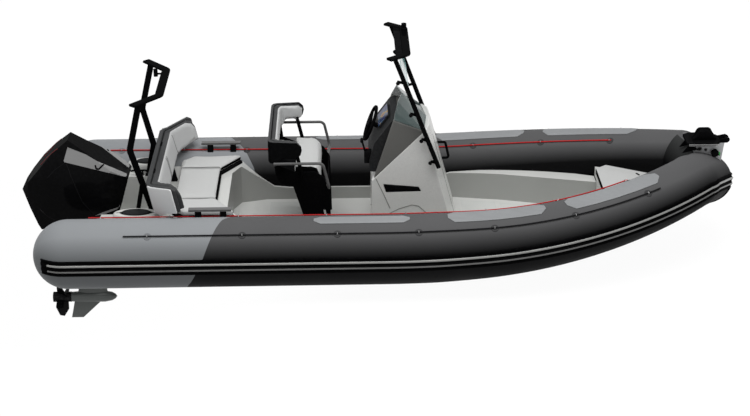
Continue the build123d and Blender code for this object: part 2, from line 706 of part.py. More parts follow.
def windscreen():
    """Smoked screen: a bowed front between two raked side panes."""
    foot_y = CONSOLE_HALF - 12
    foot = (CAP_NOSE[0] - 4, foot_y, CAP_NOSE[1] + 6)
    peak = (CAP_PEAK[0] + 2, foot_y, CAP_PEAK[1] + 6)
    top = (SCREEN_TOP[0], SCREEN_TOP_HALF, SCREEN_TOP[1])
    low_mid = (foot[0] + SCREEN_BOW, 0, foot[2] + 6)
    top_mid = (top[0] + SCREEN_BOW, 0, top[2] + 6)
    side = pane([peak, foot, top], SCREEN_T)
    front = pane([foot, low_mid, top_mid], SCREEN_T) + pane([foot, top_mid, top], SCREEN_T)
    screen = largest(side + front - console_cap() - console_shell())
    return joined(both_sides(screen))


LEG_FOOT = Vector(3124.0, 398.0, 968.0)
LEG_HEAD = Vector(2722.0, 448.0, 2040.0)
FRAME_R = 21.0
PEG_R = 13.0
PEG_L = 62.0            # how far aft a peg reaches
PEG_SHARES = (0.042, 0.25, 0.49, 0.784)     # places along the legs
CROSS_Z = 2062.0
CROSS_TIP = (2668.0, 515.0)
CROSS_CORNER = (2827.0, 375.0)
CROSS_W = 74.0
CROSS_D = 24.0
NAV_LAMP_IN = 70.0      # how far inboard of the corner the lamp stands


def console_frame():
    """Two raked legs with mounting pegs under a bow-shaped head."""
    leg = bar(LEG_FOOT, LEG_HEAD + (LEG_HEAD - LEG_FOOT).normalized() * (CROSS_Z - LEG_HEAD.Z), FRAME_R)
    half = [(*CROSS_TIP, CROSS_Z), (*CROSS_CORNER, CROSS_Z)]
    head = flat_bar(half + [(x, -y, z) for x, y, z in reversed(half)], 60, CROSS_W, CROSS_D)
    pegs = []
    for share in PEG_SHARES:
        root = LEG_FOOT + (LEG_HEAD - LEG_FOOT) * share
        reach = CONSOLE_HALF - 20 if root.Z < CAP_NOSE[1] else root.Y - 45
        pegs.append(bar(root, (root.X - PEG_L, reach, root.Z), PEG_R))
    side = joined([leg] + pegs) - box(0, 6000, -900, CONSOLE_HALF + SEAT_GAP, 0, CAP_NOSE[1])
    return joined([head, side, side.mirror(Plane.XZ)])


PANE_T = 8.0
PANE_SHARES = (0.69, 0.985)     # where along the legs the clear pane lies


def upper_pane():
    """Clear wind deflector between the legs."""
    span = LEG_HEAD - LEG_FOOT
    low, high = [LEG_FOOT + span * share for share in PANE_SHARES]
    thick = Vector(PANE_T / 2, 0, PANE_T / 2 * 0.37)
    corners = [low - thick, high - thick, high + thick, low + thick]
    half = low.Y - FRAME_R - SEAT_GAP
    return side_block([(p.X, p.Z) for p in corners], -half, half) - console_frame()


def nav_lamp():
    """Cylindrical lamp standing on the console frame's head, near its port corner."""
    x, y = CROSS_CORNER[0], CROSS_CORNER[1] - NAV_LAMP_IN
    base = CROSS_Z + CROSS_D / 2 + SEAT_GAP
    return bar((x, y, base), (x, y, base + 16), 30) + bar((x, y, base + 16), (x, y, base + 58), 24)


HANDLE_LOOP = [(3100.0, 0.0, 900.0), (3243.0, 0.0, 900.0), (3207.0, 0.0, 1060.0), (3060.0, 0.0, 1060.0)]


def console_handle():
    """Grab loop on the console's front."""
    return largest(pipe(HANDLE_LOOP, 22, 12) - console_body())


# ---------------------------------------------------------------- helm seat
SEAT_HALF = 372.0       # half width over the side plates
SEAT_PLATE = 16.0
SEAT_TOP = 985.0        # top of the cushion
# Side plate. Columns: x, z
SEAT_SIDE = [(1950.0, DECK_Z + SEAT_GAP), (1842.0, 575.0), (1775.0, 800.0), (1668.0, 812.0), (1622.0, 900.0), (1612.0, 985.0),
             (1650.0, 1000.0), (1810.0, 930.0), (1985.0, 930.0), (2060.0, 880.0), (2118.0, 780.0), (2128.0, DECK_Z + SEAT_GAP)]
SEAT_SLOT = [(2052.0, 560.0), (2075.0, 560.0), (2092.0, 380.0), (2080.0, 380.0)]
SEAT_HOLE = [(1930.0, 430.0), (1965.0, 430.0), (1965.0, 330.0), (1945.0, 330.0)]
BACK_Y = SEAT_HALF + 133.0      # half width of the backrest
SEAT_BACK_X = 1562.0
SEAT_WING_X = 1872.0
SEAT_BACK_Z = (1062.0, 1284.0)
SHELL_T = 26.0
PAD_T2 = 55.0


def seat_frame():
    """Two side plates with cross panels, open between."""
    plate = side_block(SEAT_SIDE, SEAT_HALF - SEAT_PLATE, SEAT_HALF)
    plate = plate - side_block(SEAT_SLOT, 0, 900) - side_block(SEAT_HOLE, 0, 900)
    foot = DECK_Z + SEAT_GAP
    back = side_block([(1950, foot), (1775, 800), (1791, 800), (1966, foot)], -SEAT_HALF + 8, SEAT_HALF - 8)
    shelf = box(1640, 2000, -SEAT_HALF + 8, SEAT_HALF - 8, 880, 898)
    front = box(2096, 2112, -SEAT_HALF + 8, SEAT_HALF - 8, 640, 780)
    return joined(both_sides(plate) + [back, shelf, front])


def seat_cushion():
    """White cushion with a waterfall front."""
    inner = SEAT_HALF - SEAT_PLATE - SOFT_GAP
    outline = [(1795, 899), (1795, SEAT_TOP), (1960, SEAT_TOP), (2012, SEAT_TOP - 22), (2034, SEAT_TOP - 75),
               (2034, 790), (2004, 790), (2004, 899)]
    return side_block(outline, -inner, inner)


def seat_back_zone(low_arch):
    """Side outline kept of the backrest, with its rounded wing tips."""
    z0, z1 = SEAT_BACK_Z
    return side_block(
        [(SEAT_BACK_X - 2, z0 + 10), (SEAT_BACK_X - 2, z1), (SEAT_WING_X - 45, z1), (SEAT_WING_X - 8, z1 - 35),
         (SEAT_WING_X, z1 - 75), (SEAT_WING_X - 12, z1 - 125), (SEAT_WING_X - 60, z1 - 160),
         (1760, z0 + low_arch), (1700, z0 + low_arch), (1650, z0)], -900, 900)


def seat_back_shell():
    """Black wrap-around shell, rounded in plan."""
    x, tip, t = SEAT_BACK_X, SEAT_WING_X, SHELL_T
    half = [(x, 0), (x, BACK_Y - 60), (x + 14, BACK_Y - 18), (x + 50, BACK_Y), (tip, BACK_Y + 28),
            (tip, BACK_Y + 28 - t), (x + 58, BACK_Y - t), (x + t, BACK_Y - 70), (x + t, 0)]
    solid = plan_block(mirrored_plan(half), 950, 1400)
    return solid & seat_back_zone(60)


def seat_back_pads():
    """Grey pads inside the shell."""
    x, tip, t = SEAT_BACK_X + SHELL_T + SOFT_GAP, SEAT_WING_X, PAD_T2
    face = BACK_Y - SHELL_T - SOFT_GAP * 2
    half = [(x, 0), (x, BACK_Y - 71), (SEAT_BACK_X + 59, face), (tip - 6, face + 28), (tip - 6, face + 28 - t),
            (x + 70, face - t), (x + t, face - t - 30), (x + t, 0)]
    solid = plan_block(mirrored_plan(half), 950, 1400)
    return solid & seat_back_zone(75)


STRUT_Y = SEAT_HALF + 20.0      # struts beside the seat's side plates
RAIL_Y = BACK_Y + 15.0          # hand hoops
STRUT_TOP = Vector(1812.0, STRUT_Y, 1150.0)
STRUT_FOOT = Vector(1868.0, STRUT_Y, 905.0)
REAR_TOP = Vector(1640.0, STRUT_Y, 1100.0)
REAR_FOOT = Vector(1660.0, STRUT_Y, 940.0)


def seat_struts():
    """Struts that carry the backrest on the seat frame, on the port side."""
    seat = Vector(0, SEAT_HALF + SEAT_GAP - STRUT_Y, 0)
    arm = Vector(0, BACK_Y - SHELL_T - STRUT_Y, 0)
    bars = [
        bar(STRUT_TOP, STRUT_FOOT, 17),
        bar(REAR_TOP, REAR_FOOT, 17),
        bar(STRUT_TOP, STRUT_TOP + arm, 12),
        bar(STRUT_FOOT, STRUT_FOOT + seat, 12),
        bar(REAR_FOOT, REAR_FOOT + seat, 12),
    ]
    knobs = [Pos(*p) * Sphere(17) for p in (STRUT_TOP, STRUT_FOOT, REAR_FOOT)]
    whole = joined(bars + knobs) - seat_back_pads() - seat_back_shell()
    return whole.solids().filter_by(lambda s: s.volume > 50000)


def seat_rails():
    """Hand hoops, one a side, from the backrest's wing down to the side plate."""
    rail = pipe([(1612, RAIL_Y, 1076), (2060, RAIL_Y, 1076), (2116, RAIL_Y, 826), (2096, SEAT_HALF - 30, 792)], 50, 13)
    rail = rail - seat_back_shell() - seat_back_pads() - box(1500, 2400, -900, SEAT_HALF + SEAT_GAP, 0, 1500)
    return Compound(children=both_sides(largest(rail)))


# ---------------------------------------------------------------- bow
# Plan of the locker's top. Columns: x, half width
LOCKER_PLAN = [(BOW_DECK_X + SEAT_GAP, 420.0), (5470.0, 120.0)]
LID_LOW = 610.0
LID_GAP = 0.4           # clearance under the closed lid
LID_TOP = 668.0
LID_HINGE_X = 5262.0
HINGE_R = 7.0           # the lid's hinge: knuckles, pin, half widths and play
HINGE_PIN_R = 4.0
HINGE_HALF = 45.0
HINGE_MID = 18.0
HINGE_PLAY = 0.5
HINGE_Z = LID_LOW + HINGE_R
# Port half of the locker lid. Columns: x, y
LID_PLAN = [(4684.0, 0.0), (4684.0, 235.0), (4790.0, 318.0), (5120.0, 130.0), (5250.0, 60.0), (5250.0, 0.0)]


def bow_locker(tubes):
    """Locker box and bow deck between the tubes, with the cockpit's forward wall."""
    deck = plan_block(mirrored_plan(LOCKER_PLAN), BOW_DECK_Z + SEAT_GAP, LID_LOW - LID_GAP)
    riser = [(x + SEAT_GAP if x == BOW_DECK_X else x - SEAT_GAP, y - SEAT_GAP) for x, y in RISER_PLAN]
    wall = plan_block(mirrored_plan(riser), HULL_TOP + SEAT_GAP, LID_LOW - LID_GAP)
    pin = bar((LID_HINGE_X, -HINGE_HALF, HINGE_Z), (LID_HINGE_X, HINGE_HALF, HINGE_Z), HINGE_PIN_R)
    knuckles = []
    for inner in (HINGE_MID + HINGE_PLAY, -HINGE_HALF):
        outer = inner + HINGE_HALF - HINGE_MID - HINGE_PLAY
        knuckles.append(bar((LID_HINGE_X, inner, HINGE_Z), (LID_HINGE_X, outer, HINGE_Z), HINGE_R))
        foot = LID_HINGE_X - HINGE_R * 0.8, LID_HINGE_X + HINGE_R * 0.8
        knuckles.append(box(*foot, inner, outer, LID_LOW - 20, HINGE_Z))
    return joined([(deck + wall) - tubes, pin] + knuckles)


def bow_lid():
    """White cushioned locker lid with its hinge eye, hinged at its forward end."""
    lid = plan_block(mirrored_plan(LID_PLAN), LID_LOW, LID_TOP)
    eye = bar((LID_HINGE_X, -HINGE_MID, HINGE_Z), (LID_HINGE_X, HINGE_MID, HINGE_Z), HINGE_R)
    arm = box(LID_PLAN[-1][0] - 4, LID_HINGE_X, -HINGE_MID, HINGE_MID, HINGE_Z - 2, HINGE_Z + HINGE_R)
    bore = bar((LID_HINGE_X, -90, HINGE_Z), (LID_HINGE_X, 90, HINGE_Z), HINGE_PIN_R + HINGE_PLAY)
    return joined([lid, eye, arm]) - bore


PLATFORM = (5470.0, 5790.0)
PLATFORM_Z = 1040.0
PLATFORM_HALF = 150.0
ROLLER_X = 5862.0
ROLLER_Z = 1058.0
ROLLER_R = 26.0


CHEEK_Y = (62.0, 72.0)  # faces of the cheek plates
# Holes in a cheek plate. Columns: x, z, radius
CHEEK_HOLES = [(5600.0, 985.0, 22.0), (5660.0, 975.0, 16.0), (5560.0, 1000.0, 12.0)]


def bow_bracket(tubes):
    """Grey cheek plates with lightening holes, standing on the nose under the platform."""
    top = PLATFORM_Z - SEAT_GAP
    cheek = side_block([(5500, top), (5590, 860), (5800, 760), (5830, top)], *CHEEK_Y)
    for x, z, r in CHEEK_HOLES:
        cheek = cheek - bar((x, 40, z), (x, 90, z), r)
    return Compound(children=both_sides(largest(cheek - tubes)))


def bow_platform():
    """Black step over the nose, with an arched grip and roller cheeks."""
    x0, x1 = PLATFORM
    deck = plan_block(mirrored_plan([(x0, 110), (x0 + 60, PLATFORM_HALF), (x1 - 60, PLATFORM_HALF), (x1, 70)]),
                      PLATFORM_Z, PLATFORM_Z + 24)
    arms = both_sides(side_block([(x1 - 30, PLATFORM_Z - 8), (x1 - 30, PLATFORM_Z + 24), (ROLLER_X, ROLLER_Z + 26),
                                  (ROLLER_X + 20, ROLLER_Z), (ROLLER_X, ROLLER_Z - 22)], 44, 54))
    arch = pipe([(x0 + 70, 0, PLATFORM_Z + 10), (x0 + 120, 0, PLATFORM_Z + 120), (x0 + 220, 0, PLATFORM_Z + 120),
                 (x0 + 280, 0, PLATFORM_Z + 10)], 28, 14)
    pin = bar((ROLLER_X, -50, ROLLER_Z), (ROLLER_X, 50, ROLLER_Z), 8)
    return joined([deck, arch, pin] + arms)


def bow_roller():
    """Anchor roller, waisted, free on its pin."""
    ends = [bar((ROLLER_X, y, ROLLER_Z), (ROLLER_X, y + 14, ROLLER_Z), ROLLER_R) for y in (-38, 24)]
    waist = bar((ROLLER_X, -38, ROLLER_Z), (ROLLER_X, 38, ROLLER_Z), ROLLER_R - 8)
    bore = bar((ROLLER_X, -60, ROLLER_Z), (ROLLER_X, 60, ROLLER_Z), 8.4)
    return joined([waist] + ends) - bore


LAMP_AT = (5742.0, 96.0, 950.0)


def bow_lamps():
    """Side lamp housings, one a side of the bracket."""
    x, y, z = LAMP_AT
    housing = bar((x, CHEEK_Y[1] + SEAT_GAP, z), (x, y + 22, z), 34)
    return Compound(children=both_sides(housing))


def bow_lenses():
    """Coloured lenses of the side lamps."""
    x, y, z = LAMP_AT
    lens = bar((x + 34.5, y, z - 8), (x + 48, y, z - 8), 20)
    return Compound(children=both_sides(lens))


STEM_W = 52.0


STEM_T = 8.0            # how far the strip stands out
STEM_Z = (400.0, 905.0) # its ends


def stem_strip(rail):
    """Black strip down the stem, over the nose of the collar."""
    strip = box(NOSE_X + 30, NOSE_X + 400, -STEM_W / 2, STEM_W / 2, *STEM_Z)
    grown, core = [joined(both_sides(port_tube(gap))) for gap in (STEM_T + SEAT_GAP, SEAT_GAP)]
    return largest((strip & grown) - core - rail)


# ---------------------------------------------------------------- outboard
TILT_X = -20.0          # athwartship tilt axis
TILT_Z = 345.0
STEER_X = -110.0        # upright steering axis
PROP_Z = -515.0         # propeller shaft height
PROP_R = 185.0
HUB_R = 50.0
CASE_END = -422.0       # aft end of the gearcase
HUB = (-600.0, CASE_END - 0.8)  # ends of the propeller's hub
CLAMP_Y = 96.0
CLAMP_T = 16.0
CLAMP_LOW = 50.0        # lower ends of the clamp plates
TUBE_PIN_R = 15.0
COWL_T = 14.0           # cowl's wall
HEAD_Z = (380.0, 440.0) # underside and top of the midsection's head
# Cowl outlines. Columns: x, z from the side; x, half width from above; z, half width from ahead
COWL_SIDE = [(-613.0, 301.0), (109.0, 405.0), (208.0, 736.0), (231.0, 797.0), (-313.0, 1171.0), (-470.0, 1045.0),
             (-600.0, 905.0), (-710.0, 775.0), (-767.0, 699.0)]
COWL_PLAN = [(-790.0, 120.0), (-700.0, 190.0), (-520.0, 240.0), (-250.0, 250.0), (60.0, 225.0), (190.0, 175.0),
             (250.0, 130.0)]
COWL_FRONT = [(280.0, 185.0), (420.0, 225.0), (700.0, 250.0), (860.0, 235.0), (1080.0, 130.0), (1200.0, 95.0)]


def cowl_solid(inset):
    """Cowl outline drawn in by an inset, cut from three views."""
    side = offset(make_face(Polyline(*[(x, 0, z) for x, z in COWL_SIDE], close=True)), amount=-inset) if inset else \
        make_face(Polyline(*[(x, 0, z) for x, z in COWL_SIDE], close=True))
    body = extrude(side, amount=400, both=True)
    plan = plan_block(mirrored_plan([(x, y - inset) for x, y in COWL_PLAN]), 100, 1400)
    front = [(z, y - inset) for z, y in COWL_FRONT]
    outline = [(-900, y, z) for z, y in front] + [(-900, -y, z) for z, y in reversed(front)]
    ahead = extrude(make_face(Polyline(*outline, close=True)), amount=1400, dir=(1, 0, 0))
    return body & plan & ahead


def engine_cowl(leg):
    """Hollow cowl whose floor fits round the head of the midsection."""
    return largest(cowl_solid(0) - cowl_solid(COWL_T) - leg)


def powerhead():
    """Engine block inside the cowl."""
    return box(-520, 60, -165, 165, HEAD_Z[1] + SEAT_GAP, 860)


def clamp_bracket():
    """Two clamp plates over the transom, with the tilt tube through them."""
    low, top = CLAMP_LOW, TRANSOM_TOP + SEAT_GAP
    aft, front = tan_x(TRANSOM_TOP) - SEAT_GAP, TRANSOM_T + SEAT_GAP
    boss = TUBE_PIN_R + 4
    outline = [(tan_x(low), low), (aft, top), (front, top), (front, DECK_Z + 7), (front + CLAMP_T, DECK_Z + 7),
               (front + CLAMP_T, top - 6), (front, top + 9), (40, top + 13), (TILT_X + 16, TILT_Z + boss),
               (TILT_X - 16, TILT_Z + boss), (TILT_X - 30, TILT_Z - 20), (TILT_X - 20, low)]
    plate = side_block(outline, CLAMP_Y, CLAMP_Y + CLAMP_T)
    transom = side_block([(tan_x(low) - SEAT_GAP, low), (aft, top), (front, top), (front, low)], -300, 300)
    tube = bar((TILT_X, -CLAMP_Y - 30, TILT_Z), (TILT_X, CLAMP_Y + 30, TILT_Z), TUBE_PIN_R)
    return joined(both_sides(plate - transom) + [tube])


def swivel_bracket():
    """Knuckle on the tilt tube that carries the upright steering tube."""
    half = CLAMP_Y - 5
    barrel = bar((TILT_X, -half, TILT_Z), (TILT_X, half, TILT_Z), 24)
    web = side_block([(TILT_X - 10, TILT_Z + 14), (STEER_X, TILT_Z - 20), (STEER_X, 90), (STEER_X + 30, 90),
                      (TILT_X + 5, TILT_Z - 20)], -38, 38)
    post = bar((STEER_X, 0, 90), (STEER_X, 0, TILT_Z - 5), 34)
    bore = bar((STEER_X, 0, 0), (STEER_X, 0, 500), PIN_R + 0.3)
    hole = bar((TILT_X, -200, TILT_Z), (TILT_X, 200, TILT_Z), TUBE_PIN_R + 0.3)
    return joined([barrel, web, post]) - hole - bore


PIN_R = 16.7            # steering pin


def midsection():
    """Leg: steering pin, head, driveshaft housing, plates, gearcase and skeg."""
    pin = bar((STEER_X, 0, 60), (STEER_X, 0, HEAD_Z[0] + 10), PIN_R)
    head = box(-330, -75, -85, 85, *HEAD_Z)
    foot = box(-260, -80, -45, 45, 46, 76)
    leg = loft([
        Pos(-258, 0, HEAD_Z[0] + 4) * Ellipse(100, 80), Pos(-240, 0, 40) * Ellipse(88, 60),
        Pos(-210, 0, -330) * Ellipse(125, 30), Pos(-215, 0, PROP_Z) * Ellipse(150, 24),
    ], ruled=True)
    plate = plan_block(mirrored_plan([(-480, 40), (-440, 105), (-200, 105), (-70, 30), (-50, 0)]), -340, -326)
    case = revolve(Plane.XZ * make_face(Polyline(
        (20, PROP_Z), (5, PROP_Z + 22), (-30, PROP_Z + 42), (-100, PROP_Z + 55), (-330, PROP_Z + 54),
        (CASE_END, PROP_Z + 48), (CASE_END, PROP_Z), close=True)), Axis((0, 0, PROP_Z), (1, 0, 0)))
    skeg = side_block([(-395, PROP_Z - 30), (-440, -741), (-325, -741), (-130, PROP_Z - 40)], -6, 6)
    whole = joined([pin, head, foot, leg, plate, case, skeg])
    room = bar((STEER_X, 0, 77), (STEER_X, 0, TILT_Z + 5), 42) - bar((STEER_X, 0, 60), (STEER_X, 0, 400), PIN_R)
    return whole - room


BLADES = 3


def propeller():
    """Three-bladed screw with twisted blades."""
    hub = bar((HUB[0], 0, PROP_Z), (HUB[1], 0, PROP_Z), HUB_R)
    middle = (HUB[0] + HUB[1]) / 2
    # Columns: radius, chord, thickness, pitch angle in degrees
    sections = []
    for r, chord, thick, pitch in ((36.0, 120.0, 12.0, 62.0), (110.0, 165.0, 8.0, 40.0), (PROP_R, 70.0, 3.0, 28.0)):
        turn = radians(pitch)
        plane = Plane(origin=(middle, 0, PROP_Z + r), x_dir=(-sin(turn), cos(turn), 0), z_dir=(0, 0, 1))
        sections.append(plane * RectangleRounded(chord, thick, thick * 0.45))
    blade = loft(sections, ruled=True)
    axis = Axis((0, 0, PROP_Z), (1, 0, 0))
    return joined([hub] + [blade.rotate(axis, 360 / BLADES * n + 25) for n in range(BLADES)])


# ---------------------------------------------------------------- write the parts
def main():
    """Build every node and write its STEP file."""
    tubes = joined(both_sides(port_tube(SEAT_GAP)))
    aft_port, aft_starboard, forward = collar()
    rail = rub_rail(tubes)
    leg = midsection()
    inner_line = grab_line(INNER_LINE, True)
    outer_line = grab_line(OUTER_LINE, False)
    nodes = {
        "hull_shell": hull_shell(tubes),
        "cockpit_liner": cockpit_liner(tubes),
        "collar_aft_port": aft_port,
        "collar_aft_starboard": aft_starboard,
        "collar_forward": forward,
        "rub_rail": rail,
        "rail_strips": rail_strips(),
        "collar_pads": pads(tubes),
        "grab_lines_inner": Compound(children=both_sides(inner_line)),
        "grab_lines_outer": Compound(children=both_sides(outer_line)),
        "line_eyelets": line_eyelets(inner_line, outer_line),
        "deck_hatches": deck_hatches(),
        "bench_boards": bench_boards(),
        "bench_cushions": bench_cushions(),
        "bench_back_shell": bench_back_shell(),
        "bench_back_pad": bench_back_pad(),
        "bench_back_posts": bench_back_posts(),
        "grab_handles": grab_handles(inner_line),
        "mast_legs": mast_legs(),
        "mast_head": mast_head(),
        "mast_lamp": mast_lamp(),
        "console_shell": console_shell(),
        "console_cap": console_cap(),
        "dashboard": dashboard(),
        "display": display(),
        "steering_column": steering_column(),
        "steering_wheel": steering_wheel(),
        "throttle": throttle(),
        "windscreen": windscreen(),
        "console_frame": console_frame(),
        "upper_pane": upper_pane(),
        "nav_lamp": nav_lamp(),
        "console_handle": console_handle(),
        "seat_frame": seat_frame(),
        "seat_cushion": seat_cushion(),
        "seat_back_shell": seat_back_shell(),
        "seat_back_pads": seat_back_pads(),
        "seat_struts": Compound(children=[p for strut in seat_struts() for p in both_sides(strut)]),
        "seat_rails": seat_rails(),
        "bow_locker": bow_locker(tubes),
        "bow_lid": bow_lid(),
        "bow_bracket": bow_bracket(tubes),
        "bow_platform": bow_platform(),
        "bow_roller": bow_roller(),
        "bow_lamps": bow_lamps(),
        "bow_lenses": bow_lenses(),
        "stem_strip": stem_strip(rail),
        "clamp_bracket": clamp_bracket(),
        "swivel_bracket": swivel_bracket(),
        "midsection": leg,
        "engine_cowl": engine_cowl(leg),
        "powerhead": powerhead(),
        "propeller": propeller(),
    }
    os.makedirs("parts", exist_ok=True)
    for name, node in nodes.items():
        export_step(node, f"parts/{name}.step")


main()
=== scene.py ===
"""Looks of the rigid inflatable boat: its finishes, soft pieces, trim, light and camera."""

import logging
import math
from dataclasses import dataclass, replace
from enum import Enum
from typing import Callable, ClassVar, Sequence

import bmesh
import bpy
from mathutils import Matrix, Vector
from mathutils.bvhtree import BVHTree


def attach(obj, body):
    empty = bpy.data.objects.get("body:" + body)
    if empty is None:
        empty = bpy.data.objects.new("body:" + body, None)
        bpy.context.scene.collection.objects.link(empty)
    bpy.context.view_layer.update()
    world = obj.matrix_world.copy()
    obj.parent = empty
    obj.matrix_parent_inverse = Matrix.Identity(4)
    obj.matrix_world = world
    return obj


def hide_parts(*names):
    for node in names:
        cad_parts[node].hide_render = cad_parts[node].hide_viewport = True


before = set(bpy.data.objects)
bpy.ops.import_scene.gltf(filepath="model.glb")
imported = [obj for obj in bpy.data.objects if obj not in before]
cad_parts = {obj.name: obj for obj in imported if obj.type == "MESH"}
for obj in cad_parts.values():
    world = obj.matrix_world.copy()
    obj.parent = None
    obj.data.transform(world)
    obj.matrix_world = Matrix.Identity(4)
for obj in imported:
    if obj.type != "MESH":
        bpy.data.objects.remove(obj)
log = logging.getLogger("boat")
Rgb = tuple[int, int, int]
Point = tuple[float, float, float]
Outline = tuple[tuple[float, float], ...]
Shape = bmesh.types.BMesh
Edge = bmesh.types.BMEdge
Piece = bpy.types.Object
Socket = bpy.types.NodeSocket
Test = Callable[[Vector, Vector], bool]
MERGE = 1e-5            # points nearer than this are one
SIDES = (-1, 1)         # starboard and port


def linear(colour: Rgb) -> tuple[float, float, float, float]:
    """Scene-linear colour of a screen colour.

    Args:
        colour: red, green and blue from 0 to 255.

    Returns:
        The four channels that a shader socket takes.
    """
    shares = [value / 255 for value in colour]
    red, green, blue = (s / 12.92 if s <= 0.04045 else ((s + 0.055) / 1.055) ** 2.4 for s in shares)
    return (red, green, blue, 1.0)


# ------------------------------------------------------------------ shader effects
class Tree:
    """A node tree with short calls to add nodes and join them."""

    def __init__(self, tree: bpy.types.NodeTree) -> None:
        """Wraps a node tree."""
        self.tree = tree

    def fill(self, node: bpy.types.Node, inputs: dict) -> bpy.types.Node:
        """Sets a node's inputs.

        Args:
            node: the node.
            inputs: values or sockets for its inputs, by name or number.

        Returns:
            The node.
        """
        for key, value in inputs.items():
            if isinstance(value, Socket):
                self.tree.links.new(value, node.inputs[key])
            else:
                node.inputs[key].default_value = value
        return node

    def add(self, kind: str, inputs: dict | None = None, **settings: object) -> bpy.types.Node:
        """Adds a node.

        Args:
            kind: the node's type, without its ShaderNode prefix.
            inputs: values or sockets for its inputs, by name or number.
            settings: its own properties.

        Returns:
            The new node.
        """
        prefix = "" if kind.startswith("NodeGroup") else "ShaderNode"
        node = self.tree.nodes.new(prefix + kind)
        for key, value in settings.items():
            setattr(node, key, value)
        return self.fill(node, inputs or {})

    def mix(self, share: object, low: object, high: object) -> Socket:
        """Colour between two others, by a share."""
        return self.add("Mix", {0: share, 6: low, 7: high}, data_type="RGBA").outputs[2]

    def spread(self, value: object, low: float, high: float, start: object = 0.0,
               end: object = 1.0) -> Socket:
        """Value mapped from one range to another."""
        inputs = {"Value": value, "From Min": low, "From Max": high, "To Min": start, "To Max": end}
        return self.add("MapRange", inputs).outputs["Result"]

    def calc(self, operation: str, first: object, second: object) -> Socket:
        """Result of an operation on two values."""
        return self.add("Math", {0: first, 1: second}, operation=operation).outputs[0]

    def place(self) -> Socket:
        """Object coordinates."""
        return self.add("TexCoord").outputs["Object"]

    def part(self, vector: Socket, axis: str) -> Socket:
        """One coordinate of a vector."""
        return self.add("SeparateXYZ", {"Vector": vector}).outputs[axis]

    def noise(self, vector: Socket, scale: object, detail: float, bend: float = 0.0) -> Socket:
        """Grey of a noise."""
        inputs = {"Vector": vector, "Scale": scale, "Detail": detail, "Distortion": bend}
        return self.add("TexNoise", inputs).outputs["Fac"]

    def scaled(self, vector: Socket, scale: Point) -> Socket:
        """Vector stretched along its axes."""
        return self.add("Mapping", {"Vector": vector, "Scale": scale}).outputs["Vector"]

    def effect(self, name: str, **inputs: object) -> bpy.types.Node:
        """Adds one of the shared groups."""
        return self.add("Group", inputs, node_tree=Effects.tree(name))


